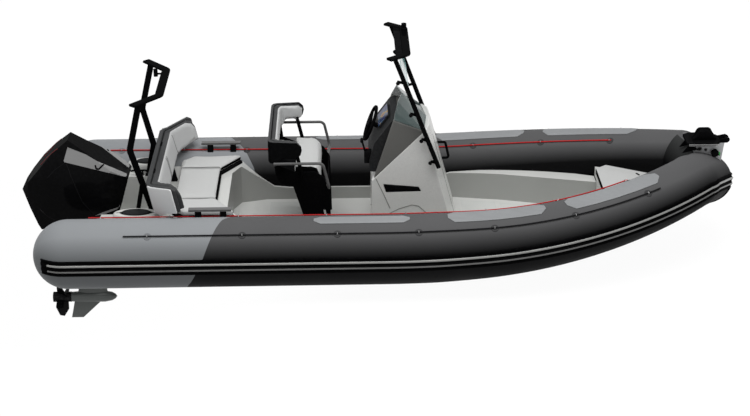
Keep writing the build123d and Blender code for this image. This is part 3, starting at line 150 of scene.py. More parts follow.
class Effects:
    """Shader groups that several finishes share, each built once by the method of its name."""

    made: ClassVar[dict[str, bpy.types.NodeTree]] = {}
    # What each group takes, then what it gives
    sockets: ClassVar[dict[str, tuple[dict[str, str], dict[str, str]]]] = {
        "surface_grain": ({"Colour": "Color", "Shade": "Float", "Blotch": "Float", "Grain": "Float",
                           "Roughness": "Float", "Spread": "Float"},
                          {"Colour": "Color", "Roughness": "Float", "Height": "Float"}),
        "edge_wear_and_highlight": ({"Colour": "Color", "Worn": "Color", "Amount": "Float"}, {"Colour": "Color"}),
        "weave": ({"Vector": "Vector", "Threads": "Float"}, {"Height": "Float"}),
        "leather": ({"Pebble": "Float", "Crease": "Float"}, {"Height": "Float"}),
    }

    @classmethod
    def tree(cls, name: str) -> bpy.types.NodeTree:
        """A shared group, built on its first use.

        Args:
            name: the group's name.

        Returns:
            The group's tree.
        """
        if name not in cls.made:
            tree = bpy.data.node_groups.new(name, "ShaderNodeTree")
            for side, sockets in zip(("INPUT", "OUTPUT"), cls.sockets[name]):
                for label, kind in sockets.items():
                    tree.interface.new_socket(label, in_out=side, socket_type="NodeSocket" + kind)
            kit = Tree(tree)
            kit.add("NodeGroupOutput", getattr(cls, name)(kit, kit.add("NodeGroupInput").outputs))
            cls.made[name] = tree
        return cls.made[name]

    @staticmethod
    def surface_grain(kit: Tree, ins: bpy.types.NodeOutputs) -> dict[str, Socket]:
        """Uneven colour, uneven gloss and a fine grain, on object coordinates.

        Args:
            kit: the group's tree.
            ins: what the group takes.

        Returns:
            What the group gives.
        """
        place = kit.place()
        broad, fine = kit.noise(place, ins["Blotch"], 4.0), kit.noise(place, ins["Grain"], 3.0)
        value = kit.spread(broad, 0.3, 0.7, kit.calc("SUBTRACT", 1.0, ins["Shade"]),
                           kit.calc("ADD", 1.0, ins["Shade"]))
        tint = kit.add("HueSaturation", {"Color": ins["Colour"], "Value": value})
        both = kit.calc("MULTIPLY", kit.calc("ADD", broad, fine), 0.5)
        rough = kit.spread(both, 0.35, 0.65, kit.calc("SUBTRACT", ins["Roughness"], ins["Spread"]),
                           kit.calc("ADD", ins["Roughness"], ins["Spread"]))
        return {"Colour": tint.outputs["Color"], "Roughness": rough, "Height": fine}

    @staticmethod
    def edge_wear_and_highlight(kit: Tree, ins: bpy.types.NodeOutputs) -> dict[str, Socket]:
        """Rubbed, paler edges, broken up by noise; on the cowl the paler edges are painted highlights.

        Args:
            kit: the group's tree.
            ins: what the group takes.

        Returns:
            What the group gives.
        """
        edge = kit.spread(kit.add("NewGeometry").outputs["Pointiness"], 0.51, 0.6)
        spots = kit.spread(kit.noise(kit.place(), 38.0, 4.0), 0.4, 0.65, 0.2, 1.0)
        share = kit.calc("MULTIPLY", kit.calc("MULTIPLY", edge, spots), ins["Amount"])
        return {"Colour": kit.mix(share, ins["Colour"], ins["Worn"])}

    @staticmethod
    def weave(kit: Tree, ins: bpy.types.NodeOutputs) -> dict[str, Socket]:
        """Crossed threads of a coated cloth.

        Args:
            kit: the group's tree.
            ins: what the group takes.

        Returns:
            What the group gives.
        """
        inputs = {"Vector": ins["Vector"], "Scale": ins["Threads"], "Distortion": 0.4, "Detail": 1.0}
        threads = [kit.add("TexWave", inputs, bands_direction=axis).outputs["Fac"] for axis in ("X", "Y")]
        return {"Height": kit.calc("MULTIPLY", *threads)}

    @staticmethod
    def leather(kit: Tree, ins: bpy.types.NodeOutputs) -> dict[str, Socket]:
        """Pebbled grain and soft creases of marine vinyl.

        Args:
            kit: the group's tree.
            ins: what the group takes.

        Returns:
            What the group gives.
        """
        place = kit.place()
        pebble = kit.add("TexVoronoi", {"Vector": place, "Scale": ins["Pebble"]}).outputs["Distance"]
        soft = kit.calc("MULTIPLY", kit.noise(place, 9.0, 5.0, 0.6), ins["Crease"])
        return {"Height": kit.calc("ADD", pebble, soft)}


class Pattern(Enum):
    """Relief that a finish carries, with its depth in metres."""

    GRAIN = 0.001
    LEATHER = 0.0016
    BRUSHED = 0.0006
    TREAD = 0.0015
    WEAVE = 0.0004


@dataclass(frozen=True)
class Finish:
    """An opaque surface: its colour, gloss, relief and paler edges, which are worn edges and on the cowl
    painted highlights.
    """

    name: str
    slot: str
    colour: Rgb
    roughness: float = 0.5
    spread: float = 0.07
    shade: float = 0.05
    blotch: float = 2.5
    grain: float = 420.0
    bump: float = 0.08
    metallic: float = 0.0
    specular: float = 0.35
    coat: float = 0.0
    sheen: float = 0.0
    # Paler edge colour and its share: rubbed wear, and on the cowl painted highlights
    worn: Rgb | None = None
    wear: float = 0.35
    pattern: Pattern = Pattern.GRAIN

    def like(self, name: str, slot: str, colour: Rgb, **changes: object) -> "Finish":
        """A finish that differs from this one in a few values."""
        return replace(self, name=name, slot=slot, colour=colour, **changes)

    def base(self, kit: Tree) -> object:
        """Colour before grain and wear."""
        return linear(self.colour)

    def relief(self, kit: Tree, height: Socket) -> Socket:
        """Height that the bump follows.

        Args:
            kit: the material's tree.
            height: the fine grain's own height.

        Returns:
            The height's socket.
        """
        if self.pattern is Pattern.LEATHER:
            return kit.effect("leather", Pebble=self.grain, Crease=1.6).outputs["Height"]
        if self.pattern is Pattern.BRUSHED:
            return kit.noise(kit.scaled(kit.place(), (6.0, 90.0, 400.0)), 6.0, 2.0)
        if self.pattern is Pattern.TREAD:
            inputs = {"Vector": kit.place(), "Scale": 95.0, "Randomness": 0.15}
            studs = kit.add("TexVoronoi", inputs, distance="CHEBYCHEV")
            return kit.spread(studs.outputs["Distance"], 0.15, 0.4, 1.0, 0.0)
        return height

    def dressed(self, kit: Tree, shader: bpy.types.Node) -> None:
        """Joins what varies over the surface to the shader.

        Args:
            kit: the material's tree.
            shader: its shader.
        """
        grain = kit.effect("surface_grain", Colour=self.base(kit), Shade=self.shade, Blotch=self.blotch,
                           Grain=self.grain, Roughness=self.roughness, Spread=self.spread).outputs
        colour = grain["Colour"]
        if self.worn is not None:
            colour = kit.effect("edge_wear_and_highlight", Colour=colour, Worn=linear(self.worn),
                                Amount=self.wear).outputs["Colour"]
        height = self.relief(kit, grain["Height"])
        bump = kit.add("Bump", {"Height": height, "Strength": min(1.0, self.bump * 4),
                                "Distance": self.pattern.value})
        kit.fill(shader, {"Base Color": colour, "Roughness": grain["Roughness"],
                          "Normal": bump.outputs["Normal"]})

    def material(self) -> bpy.types.Material:
        """The finish's material, built on its first use.

        Returns:
            The material.
        """
        known = bpy.data.materials.get("surface_" + self.name)
        if known is not None:
            return known
        made = bpy.data.materials.new("surface_" + self.name)
        made.use_nodes = True
        kit, shader = Tree(made.node_tree), made.node_tree.nodes["Principled BSDF"]
        kit.fill(shader, {"Metallic": self.metallic, "Specular IOR Level": self.specular,
                          "Coat Weight": self.coat, "Coat Roughness": 0.08, "Sheen Weight": self.sheen})
        self.dressed(kit, shader)
        made.diffuse_color = linear(self.colour)
        return made


@dataclass(frozen=True)
class TubeCloth(Finish):
    """Coated cloth of the collar, which darkens round the tube's underside, with light and shade painted
    into its colour: on the light cloth the darker underside and inboard side are painted shade, and on the
    dark cloth the charcoal top is a painted sheen over black cloth.

    The piece's own UV map gives the angle round the tube in turns, and the length along it.
    """

    # Colours under the tube and on its inboard side: painted shade on the light cloth, the cloth's own black
    # on the dark cloth
    low: Rgb = (60, 60, 62)
    inboard: Rgb = (60, 60, 62)
    out_fade: tuple[float, float] = (0.04, 0.15)
    in_fade: tuple[float, float] = (0.36, 0.47)
    pattern: Pattern = Pattern.WEAVE

    @staticmethod
    def wrap(kit: Tree) -> Socket:
        """The wrap round the tube."""
        return kit.add("UVMap", uv_map="wrap").outputs["UV"]

    def base(self, kit: Tree) -> object:
        """Colour by the angle round the tube, with its painted shade and sheen.

        Args:
            kit: the material's tree.

        Returns:
            The colour's socket.
        """
        # Painted light: darker under the tube and inboard, lighter on top
        turn = kit.part(self.wrap(kit), "X")
        lower = kit.mix(kit.spread(turn, *self.out_fade), linear(self.low), linear(self.colour))
        return kit.mix(kit.spread(turn, *self.in_fade), lower, linear(self.inboard))

    def relief(self, kit: Tree, height: Socket) -> Socket:
        """Threads that follow the cloth."""
        vector = kit.scaled(self.wrap(kit), (2.0, 1.0, 1.0))
        return kit.effect("weave", Vector=vector, Threads=self.grain).outputs["Height"]


@dataclass(frozen=True)
class Pane(Finish):
    """Tinted see-through sheet."""

    alpha: float = 0.5

    def dressed(self, kit: Tree, shader: bpy.types.Node) -> None:
        """Adds the tint to the plain surface."""
        super().dressed(kit, shader)
        kit.fill(shader, {"Alpha": self.alpha, "IOR": 1.49})


@dataclass(frozen=True)
class Chart(Finish):
    """Lit screen with a plain made-up chart: water, shoals and land."""

    # Colours from deep water to land, each from its share of the noise
    deep: Rgb = (26, 24, 62)
    bands: tuple[tuple[float, Rgb], ...] = (
        (0.42, (36, 44, 92)), (0.5, (58, 84, 108)), (0.55, (140, 108, 48)), (0.6, (126, 66, 30)),
        (0.66, (42, 34, 28)))

    def dressed(self, kit: Tree, shader: bpy.types.Node) -> None:
        """Paints the chart and lights it.

        Args:
            kit: the material's tree.
            shader: its shader.
        """
        ramp = kit.add("ValToRGB", {"Fac": kit.noise(kit.place(), 7.0, 3.0)})
        steps = ramp.color_ramp
        steps.interpolation = "CONSTANT"
        for where, colour in self.bands:
            steps.elements.new(where).color = linear(colour)
        steps.elements[0].color, steps.elements[-1].color = linear(self.deep), linear(self.bands[-1][1])
        chart = ramp.outputs["Color"]
        kit.fill(shader, {"Base Color": chart, "Emission Color": chart, "Emission Strength": 0.12,
                          "Roughness": 0.15})


@dataclass(frozen=True)
class TwoTone(Finish):
    """Surface with another colour on one side of a place along an axis."""

    other: Rgb = (170, 20, 20)
    axis: str = "Y"
    side: str = "GREATER_THAN"
    joint: float = 0.0

    def base(self, kit: Tree) -> object:
        """Colour by the place along the axis."""
        past = kit.calc(self.side, kit.part(kit.place(), self.axis), self.joint)
        return kit.mix(past, linear(self.colour), linear(self.other))


# The light cloth's darker low and inboard colours are painted shade; the dark cloth's charcoal top is a
# painted sheen over its black
LIGHT_CLOTH = TubeCloth("light_cloth", "tube_light", (152, 155, 158), roughness=0.62, grain=160.0,
                        bump=0.05, specular=0.18, shade=0.02, low=(120, 123, 125),
                        inboard=(128, 131, 134))
DARK_CLOTH = LIGHT_CLOTH.like("dark_cloth", "tube_dark", (94, 94, 95), roughness=0.72, specular=0.08,
                              shade=0.04, low=(14, 14, 15), inboard=(10, 10, 11))
# Darker copy of the dark cloth: painted shade on the nose's inboard side past the mitre
NOSE_SHADE_CLOTH = DARK_CLOTH.like("nose_cloth_painted_shade", "tube_dark", (60, 61, 61), specular=0.03, low=(9, 9, 10),
                             inboard=(7, 7, 8), in_fade=(0.30, 0.47))
PATCH = TwoTone("glued_patch", "tube_dark", (66, 66, 67), roughness=0.6, specular=0.1, grain=300.0,
                other=(128, 130, 133), axis="X", side="LESS_THAN", joint=1.15)
PAD_GREY = Finish("step_pad", "pad_grey", (152, 154, 156), roughness=0.75, bump=0.2, grain=300.0,
                  specular=0.15, worn=(175, 178, 180), pattern=Pattern.TREAD)
DECK_GRIP = PAD_GREY.like("deck_grip", "liner_grey", (212, 214, 211), roughness=0.8, bump=0.25,
                          grain=420.0, worn=None)
RUBBER = Finish("black_rubber", "black_rubber", (10, 10, 11), roughness=0.6, specular=0.0, shade=0.15,
                grain=250.0, worn=(45, 45, 46), coat=0.02)
RAIL_BLACK = RUBBER.like("rail_rubber", "black_rubber", (7, 7, 8), roughness=0.45, shade=0.1,
                         worn=(34, 34, 35), wear=0.4)
# Darker copy of the bright strip: painted shade on the lower strip, which faces down
LOWER_STRIP_SHADE = Finish("lower_strip_painted_shade", "bright_strip", (112, 112, 111), roughness=0.35, metallic=0.2,
                    specular=0.4, pattern=Pattern.BRUSHED, bump=0.05)
BRIGHT = LOWER_STRIP_SHADE.like("bright_strip", "bright_strip", (150, 150, 148), roughness=0.3, metallic=0.3,
                         specular=0.5)
STEEL = BRIGHT.like("steel", "steel", (168, 168, 168), roughness=0.25, metallic=0.9, grain=200.0)
GREY_BAR = Finish("grey_bar", "grey_tube", (96, 96, 96), roughness=0.4, specular=0.2, grain=600.0,
                  bump=0.1, worn=(130, 130, 130))
RED_LINE = Finish("red_line", "red_line", (196, 44, 46), roughness=0.7, grain=700.0, bump=0.2,
                  specular=0.1, shade=0.12, blotch=60.0)
BLACK_LINE = RED_LINE.like("black_line", "black_line", (26, 26, 28), shade=0.2)
DARK_HULL = Finish("dark_gelcoat", "hull_white", (10, 10, 11), roughness=0.3, coat=0.03, specular=0.0,
                   shade=0.08, grain=60.0, bump=0.01)
LINER = Finish("liner_gelcoat", "liner_grey", (218, 219, 216), roughness=0.35, coat=0.15, specular=0.3,
               shade=0.02, grain=80.0, bump=0.02, worn=(222, 222, 218))
# Darker copy of the liner: painted shade on the cockpit's walls
LINER_WALL_SHADE = LINER.like("liner_wall_painted_shade", "liner_grey", (170, 171, 168), roughness=0.4, coat=0.1,
                        specular=0.2, shade=0.03, worn=None)
MOULDED = LINER.like("console_gelcoat", "liner_grey", (234, 235, 232), roughness=0.3, coat=0.2,
                     worn=(222, 222, 220))
# Darker than the gelcoat: painted shade along the console's creases and step arch
SEAM_AND_CREASE_SHADE = Finish("seam_and_crease_shade", "liner_grey", (128, 130, 126), roughness=0.5, specular=0.2, bump=0.05)
DARK_MOULD = Finish("dark_moulding", "dark_plastic", (110, 110, 107), roughness=0.55, specular=0.12,
                    grain=500.0, bump=0.12, worn=(120, 120, 118))
DASH = DARK_MOULD.like("dash_plastic", "dark_plastic", (38, 39, 40), roughness=0.6, specular=0.04,
                       bump=0.15, worn=(75, 75, 76))
SHELL_GREY = DARK_MOULD.like("seat_shell", "dark_plastic", (56, 57, 58), roughness=0.5, specular=0.1,
                             grain=600.0, worn=(92, 92, 94))
BLACK_PART = Finish("black_plastic", "black_plastic", (12, 12, 13), roughness=0.5, specular=0.0,
                    grain=500.0, bump=0.12, shade=0.1, worn=(44, 44, 46), coat=0.02)
TUBE_BLACK = BLACK_PART.like("black_powder_coat", "black_plastic", (10, 10, 11), roughness=0.45,
                             grain=900.0, bump=0.1, worn=(46, 46, 48))
SHELL_BLACK = BLACK_PART.like("black_shell", "black_plastic", (12, 12, 13), grain=600.0, shade=0.05,
                              worn=(36, 36, 38))
SEAM = Finish("seam_thread", "black_plastic", (88, 88, 88), roughness=0.8, specular=0.1, grain=900.0,
              bump=0.3)
WHITE_VINYL = Finish("white_vinyl", "white_vinyl", (203, 204, 203), roughness=0.48, specular=0.25,
                     grain=230.0, bump=0.12, shade=0.02, sheen=0.1, pattern=Pattern.LEATHER)
LIGHT_VINYL = WHITE_VINYL.like("light_vinyl", "light_vinyl", (206, 207, 207), roughness=0.5,
                               specular=0.22, shade=0.03)
# Paler copy of the light vinyl: painted light on wing panels that face away from the lamp
WING_VINYL_LIT = LIGHT_VINYL.like("wing_vinyl_painted_light", "light_vinyl", (236, 237, 237))
# Its paler edges are painted highlights on the cowl's edges
COWL_BLACK = Finish("cowl_paint", "cowl_black", (11, 11, 12), roughness=0.25, coat=0.05, specular=0.0,
                    shade=0.1, grain=50.0, bump=0.01, worn=(40, 40, 42), wear=0.2)
CREASE_BLACK = Finish("cowl_crease", "cowl_black", (30, 30, 31), roughness=0.3, specular=0.0, bump=0.01,
                      coat=0.05)
COWL_RED = Finish("cowl_stripe", "red_line", (120, 34, 36), roughness=0.35, specular=0.2, bump=0.01)
# Grey of the inlays, and of the painted highlight on the cowl's lower edge
COWL_GREY = Finish("cowl_inlay_and_highlight", "engine_grey", (138, 138, 138), roughness=0.4, coat=0.2, specular=0.3,
                   grain=90.0, bump=0.03)
ENGINE_GREY = Finish("engine_paint", "engine_grey", (98, 102, 100), roughness=0.42, coat=0.1,
                     specular=0.3, shade=0.06, grain=200.0, bump=0.06, worn=(150, 150, 148))
CAST_GREY = Finish("cast_bracket", "grey_metal", (178, 179, 181), roughness=0.45, metallic=0.4,
                   grain=300.0, worn=(190, 190, 190))
PROP_BLACK = Finish("prop_paint", "steel", (14, 15, 16), roughness=0.25, coat=0.1, specular=0.0,
                    grain=200.0, worn=(110, 110, 110))
SMOKED = Pane("smoked_sheet", "smoked_glass", (98, 112, 111), roughness=0.06, spread=0.01, shade=0.01,
              specular=0.3, alpha=0.7, bump=0.0)
CLEAR = SMOKED.like("clear_sheet", "clear_pane", (158, 214, 212), alpha=0.5)
SCREEN = Chart("chart_screen", "screen", (70, 90, 200), specular=0.08)
LENS = TwoTone("side_lens", "lens", (22, 150, 52), roughness=0.15, specular=0.5, bump=0.0)


# ------------------------------------------------------------------ mesh helpers
def edges_of(verts: Sequence[bmesh.types.BMVert]) -> list[Edge]:
    """Every edge that meets some vertices."""
    return list(dict.fromkeys(edge for vert in verts for edge in vert.link_edges))


def verts_in(geom: Sequence[object]) -> list[bmesh.types.BMVert]:
    """The vertices among an operator's results."""
    return [g for g in geom if isinstance(g, bmesh.types.BMVert)]


def sharp_edges(shape: Shape, angle: float) -> list[Edge]:
    """Edges whose two faces turn by more than some degrees."""
    return [edge for edge in shape.edges
            if len(edge.link_faces) == 2 and edge.calc_face_angle(0.0) > math.radians(angle)]


def outward(shape: Shape) -> None:
    """Points the faces out."""
    bmesh.ops.recalc_face_normals(shape, faces=shape.faces)


def softened(shape: Shape, edges: Sequence[Edge], width: float, steps: int = 2) -> None:
    """Rounds edges."""
    bmesh.ops.bevel(shape, geom=edges, offset=width, offset_type="OFFSET", segments=steps, profile=0.5,
                    affect="EDGES", clamp_overlap=True, material=-1)


def cut(shape: Shape, place: Sequence[float], normal: Sequence[float], clear: bool = False) -> None:
    """Cuts every face at a plane, and can drop what is past it."""
    bmesh.ops.bisect_plane(shape, geom=shape.verts[:] + shape.edges[:] + shape.faces[:], plane_co=place,
                           plane_no=normal, clear_outer=clear, dist=MERGE)


def trimmed_by(shape: Shape, width: float) -> None:
    """Takes a rim of some width off a mesh's open border."""
    rim = bmesh.ops.inset_region(shape, faces=shape.faces[:], thickness=width, depth=0.0)["faces"]
    bmesh.ops.delete(shape, geom=rim, context="FACES")


def thickened(shape: Shape, way: Sequence[float]) -> None:
    """Extrudes every face and points the faces out.

    Args:
        shape: the mesh in hand.
        way: the vector of the extrusion.
    """
    made = bmesh.ops.extrude_face_region(shape, geom=shape.faces[:])["geom"]
    bmesh.ops.translate(shape, verts=verts_in(made), vec=way)
    outward(shape)


def slab(corners: Sequence[Point], way: Point, width: float, steps: int = 2) -> Shape:
    """Plate of a flat outline with rounded edges.

    Args:
        corners: the outline.
        way: its thickness, as a vector.
        width: how far the rounding reaches from an edge.
        steps: facets of a rounding.

    Returns:
        The plate's mesh.
    """
    shape = bmesh.new()
    shape.faces.new([shape.verts.new(point) for point in corners])
    thickened(shape, way)
    softened(shape, shape.edges[:], width, steps)
    return shape


def block(shape: Shape, at: Point, size: Point, turn: float = 0.0, axis: str = "Z",
          width: float = 0.0) -> None:
    """Adds a box.

    Args:
        shape: the mesh in hand.
        at: the box's middle.
        size: its three sizes.
        turn: its turn in degrees.
        axis: the axis of the turn.
        width: how far its rounding reaches, or 0 for sharp edges.
    """
    turned = Matrix.Translation(at) @ Matrix.Rotation(math.radians(turn), 4, axis)
    place = turned @ Matrix.Diagonal((*size, 1))
    made = bmesh.ops.create_cube(shape, size=1.0, matrix=place)["verts"]
    if width:
        softened(shape, edges_of(made), width)


def ball(shape: Shape, at: Vector, radius: float, sides: int, rows: int, flat: float = 1.0) -> None:
    """Adds a ball, flattened along X by a share."""
    place = Matrix.Translation(at) @ Matrix.Diagonal((flat, 1, 1, 1))
    bmesh.ops.create_uvsphere(shape, u_segments=sides, v_segments=rows, radius=radius, matrix=place)


def cone(shape: Shape, place: Matrix, foot: float, top: float, depth: float, sides: int) -> None:
    """Adds a closed cone by its two radii."""
    bmesh.ops.create_cone(shape, cap_ends=True, segments=sides, radius1=foot, radius2=top, depth=depth,
                          matrix=place)


def ring(shape: Shape, place: Matrix, radius: float, sides: int) -> list[Edge]:
    """Adds a circle round local Z and gives its edges."""
    made = bmesh.ops.create_circle(shape, cap_ends=False, segments=sides, radius=radius, matrix=place)
    return edges_of(made["verts"])


def skin(shape: Shape, rings: Sequence[list[Edge]], caps: Sequence[int] = (0, -1)) -> None:
    """Bridges rings in turn and closes some of them.

    Args:
        shape: the mesh in hand.
        rings: edges of each ring.
        caps: which rings are closed.
    """
    for first, second in zip(rings, rings[1:]):
        bmesh.ops.bridge_loops(shape, edges=first + second)
    for cap in caps:
        bmesh.ops.contextual_create(shape, geom=rings[cap])


def facing(point: Vector, ahead: Vector, up: Vector = Vector((0, 0, 1))) -> Matrix:
    """Placing of something that looks along a heading.

    Args:
        point: where it stands.
        ahead: the heading of its local Z.
        up: what its local Y is as near to as it can be.

    Returns:
        The matrix.
    """
    z = ahead.normalized()
    x = up.cross(z)
    if x.length < 1e-6:
        x = Vector((1, 0, 0)).cross(z)
    x.normalize()
    return Matrix.Translation(point) @ Matrix((x, z.cross(x), z)).transposed().to_4x4()


def tube_along(shape: Shape, route: Sequence[Vector], radius: float, sides: int = 8) -> None:
    """Adds a round tube along a route of points.

    Args:
        shape: the mesh in hand.
        route: the points.
        radius: the tube's radius.
        sides: how many faces go round it.
    """
    last = len(route) - 1
    skin(shape, [ring(shape, facing(point, route[min(n + 1, last)] - route[max(n - 1, 0)]), radius, sides)
                 for n, point in enumerate(route)])


def mirrored(shape: Shape) -> None:
    """Adds the mirror image across the centre plane.

    Args:
        shape: the mesh in hand.
    """
    made = bmesh.ops.duplicate(shape, geom=shape.verts[:] + shape.edges[:] + shape.faces[:])["geom"]
    bmesh.ops.scale(shape, verts=verts_in(made), vec=(1, -1, 1))
    bmesh.ops.reverse_faces(shape, faces=[g for g in made if isinstance(g, bmesh.types.BMFace)])


def placed(name: str, data: bpy.types.ID) -> Piece:
    """Puts a mesh, lamp or camera in the scene.

    Args:
        name: the object's name.
        data: what it shows.

    Returns:
        The object.
    """
    made = bpy.data.objects.new(name, data)
    bpy.context.scene.collection.objects.link(made)
    return made


def meshed(shape: Shape, name: str) -> bpy.types.Mesh:
    """Turns a mesh in hand, freed here, into mesh data.

    Args:
        shape: the mesh in hand.
        name: the data's name.

    Returns:
        The data.
    """
    mesh = bpy.data.meshes.new(name)
    shape.to_mesh(mesh)
    shape.free()
    return mesh


def finished(shape: Shape, name: str, finish: Finish, body: str = "boat", replaces: Sequence[str] = (),
             crease: float = 40.0) -> Piece:
    """Turns a mesh in hand into a piece that rides on a body.

    Args:
        shape: the mesh in hand, freed here.
        name: the piece's name.
        finish: its surface.
        body: the body that carries it.
        replaces: CAD nodes that it stands for.
        crease: edges sharper than this many degrees stay sharp.

    Returns:
        The piece.
    """
    mesh = meshed(shape, name)
    mesh.shade_smooth()
    mesh.set_sharp_from_angle(angle=math.radians(crease))
    return settled(placed(name, mesh), finish, body, replaces)


def settled(piece: Piece, finish: Finish, body: str = "boat", replaces: Sequence[str] = ()) -> Piece:
    """Dresses a piece, ties it to its body and reports it.

    Args:
        piece: the piece.
        finish: its surface.
        body: the body that carries it.
        replaces: CAD nodes that it stands for.

    Returns:
        The piece.
    """
    piece.data.materials.clear()
    piece.data.materials.append(finish.material())
    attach(piece, body)
    if replaces:
        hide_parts(*replaces)
    log.info("%s: %d faces in %s on %s", piece.name, len(piece.data.polygons), finish.name, body)
    return piece


def copied(node: str, flat: float = 0.4) -> Shape:
    """A CAD node's mesh with its doubles merged.

    Args:
        node: the CAD node.
        flat: faces that turn by less than this many degrees become one.

    Returns:
        The copy.
    """
    shape = bmesh.new()
    shape.from_mesh(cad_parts[node].data)
    bmesh.ops.remove_doubles(shape, verts=shape.verts, dist=MERGE)
    if flat:
        bmesh.ops.dissolve_limit(shape, angle_limit=math.radians(flat), verts=shape.verts, edges=shape.edges)
    return shape


def rounded(node: str, finish: Finish, width: float, body: str = "boat", steps: int = 2,
            sharp: float = 32.0) -> Piece:
    """A CAD node with its sharp edges rounded, in place of the node.

    Args:
        node: the CAD node.
        finish: its surface.
        width: how far the rounding reaches from an edge.
        body: the body that carries it.
        steps: facets of a rounding.
        sharp: edges over this many degrees are rounded.

    Returns:
        The piece.
    """
    shape = copied(node)
    softened(shape, sharp_edges(shape, sharp), width, steps)
    piece = finished(shape, node + "_rounded", finish, body, (node,))
    piece.modifiers.new("flats", "WEIGHTED_NORMAL").keep_sharp = True
    return piece


def surface_of(*pieces: Piece) -> BVHTree:
    """Search tree of one or more pieces' meshes.

    Args:
        pieces: the pieces.

    Returns:
        The tree.
    """
    shape = bmesh.new()
    for piece in pieces:
        shape.from_mesh(piece.data)
    bmesh.ops.triangulate(shape, faces=shape.faces[:])
    tree = BVHTree.FromBMesh(shape)
    shape.free()
    return tree


def dropped(onto: BVHTree, point: Vector, way: Vector | None, back: float) -> Vector:
    """Where a point meets a surface.

    Args:
        onto: the surface.
        point: the point, near the surface.
        way: direction of the fall, or none for the nearest spot.
        back: how far before the point the fall starts.

    Returns:
        The spot, which is the nearest one where the fall misses.
    """
    hit = onto.ray_cast(point - way * back, way, 3.0)[0] if way else None
    return hit or onto.find_nearest(point)[0]


def draped(name: str, finish: Finish, outline: Sequence[Point], toward: Point, onto: BVHTree, lift: float,
           depth: float, body: str, step: float) -> None:
    """Thin panel of a flat outline, laid onto a surface.

    Args:
        name: the piece's name.
        finish: its surface.
        outline: corners of the panel, somewhere off the surface.
        toward: direction in which the corners meet the surface.
        onto: the surface.
        lift: how far the panel's face stands off it.
        depth: the panel's thickness.
        body: the body that carries it.
        step: how finely it follows the surface.
    """
    shape = bmesh.new()
    way = Vector(toward).normalized()
    shape.faces.new([shape.verts.new(point) for point in outline])
    for axis in (n for n in range(3) if abs(way[n]) <= 0.9):
        low, high = (pick(p[axis] for p in outline) for pick in (min, max))
        normal = Vector([float(n == axis) for n in range(3)])
        for n in range(1, int((high - low) / step) + 1):
            cut(shape, normal * (low + n * step), normal)
    for vert in shape.verts:
        vert.co = dropped(onto, vert.co, way, 0.5) - way * lift
    bmesh.ops.remove_doubles(shape, verts=shape.verts, dist=MERGE)
    thickened(shape, way * depth)
    finished(shape, name, finish, body, crease=30.0)


def lined(name: str, finish: Finish, routes: Sequence[Sequence[Point]], onto: BVHTree, radius: float = 0.003,
          body: str = "boat", toward: Point | None = None) -> None:
    """Thin raised lines on both sides that follow a surface: piping, seams and creases.

    Args:
        name: the piece's name.
        finish: its surface.
        routes: corners of each line, near the surface.
        onto: the surface.
        radius: half a line's thickness.
        body: the body that carries it.
        toward: direction in which the corners meet the surface, or the nearest point where none is given.
    """
    shape = bmesh.new()
    way, step = Vector(toward) if toward else None, 0.012
    for route in routes:
        corners = [Vector(p) for p in route]
        points: list[Vector] = []
        for first, second in zip(corners, corners[1:]):
            count = max(1, int((second - first).length / step))
            points += [first.lerp(second, n / count) for n in range(count)]
        tube_along(shape, [dropped(onto, point, way, 0.6) for point in points + corners[-1:]], radius, 6)
    mirrored(shape)
    finished(shape, name, finish, body)


def two_toned(piece: Piece, trim: Finish, trimmed: Test, plain: BVHTree | None = None) -> None:
    """Gives some faces of a piece a further finish.

    Args:
        piece: the piece.
        trim: the further finish.
        trimmed: says of a point and a normal whether the trim is there.
        plain: the plain surface whose normals are asked, or the piece's own.
    """
    piece.data.materials.append(trim.material())
    added = len(piece.data.materials) - 1
    for face in piece.data.polygons:
        point, normal = face.center, face.normal
        if plain is not None:
            normal = plain.find_nearest(point)[1] or normal
        if trimmed(point, normal):
            face.material_index = added


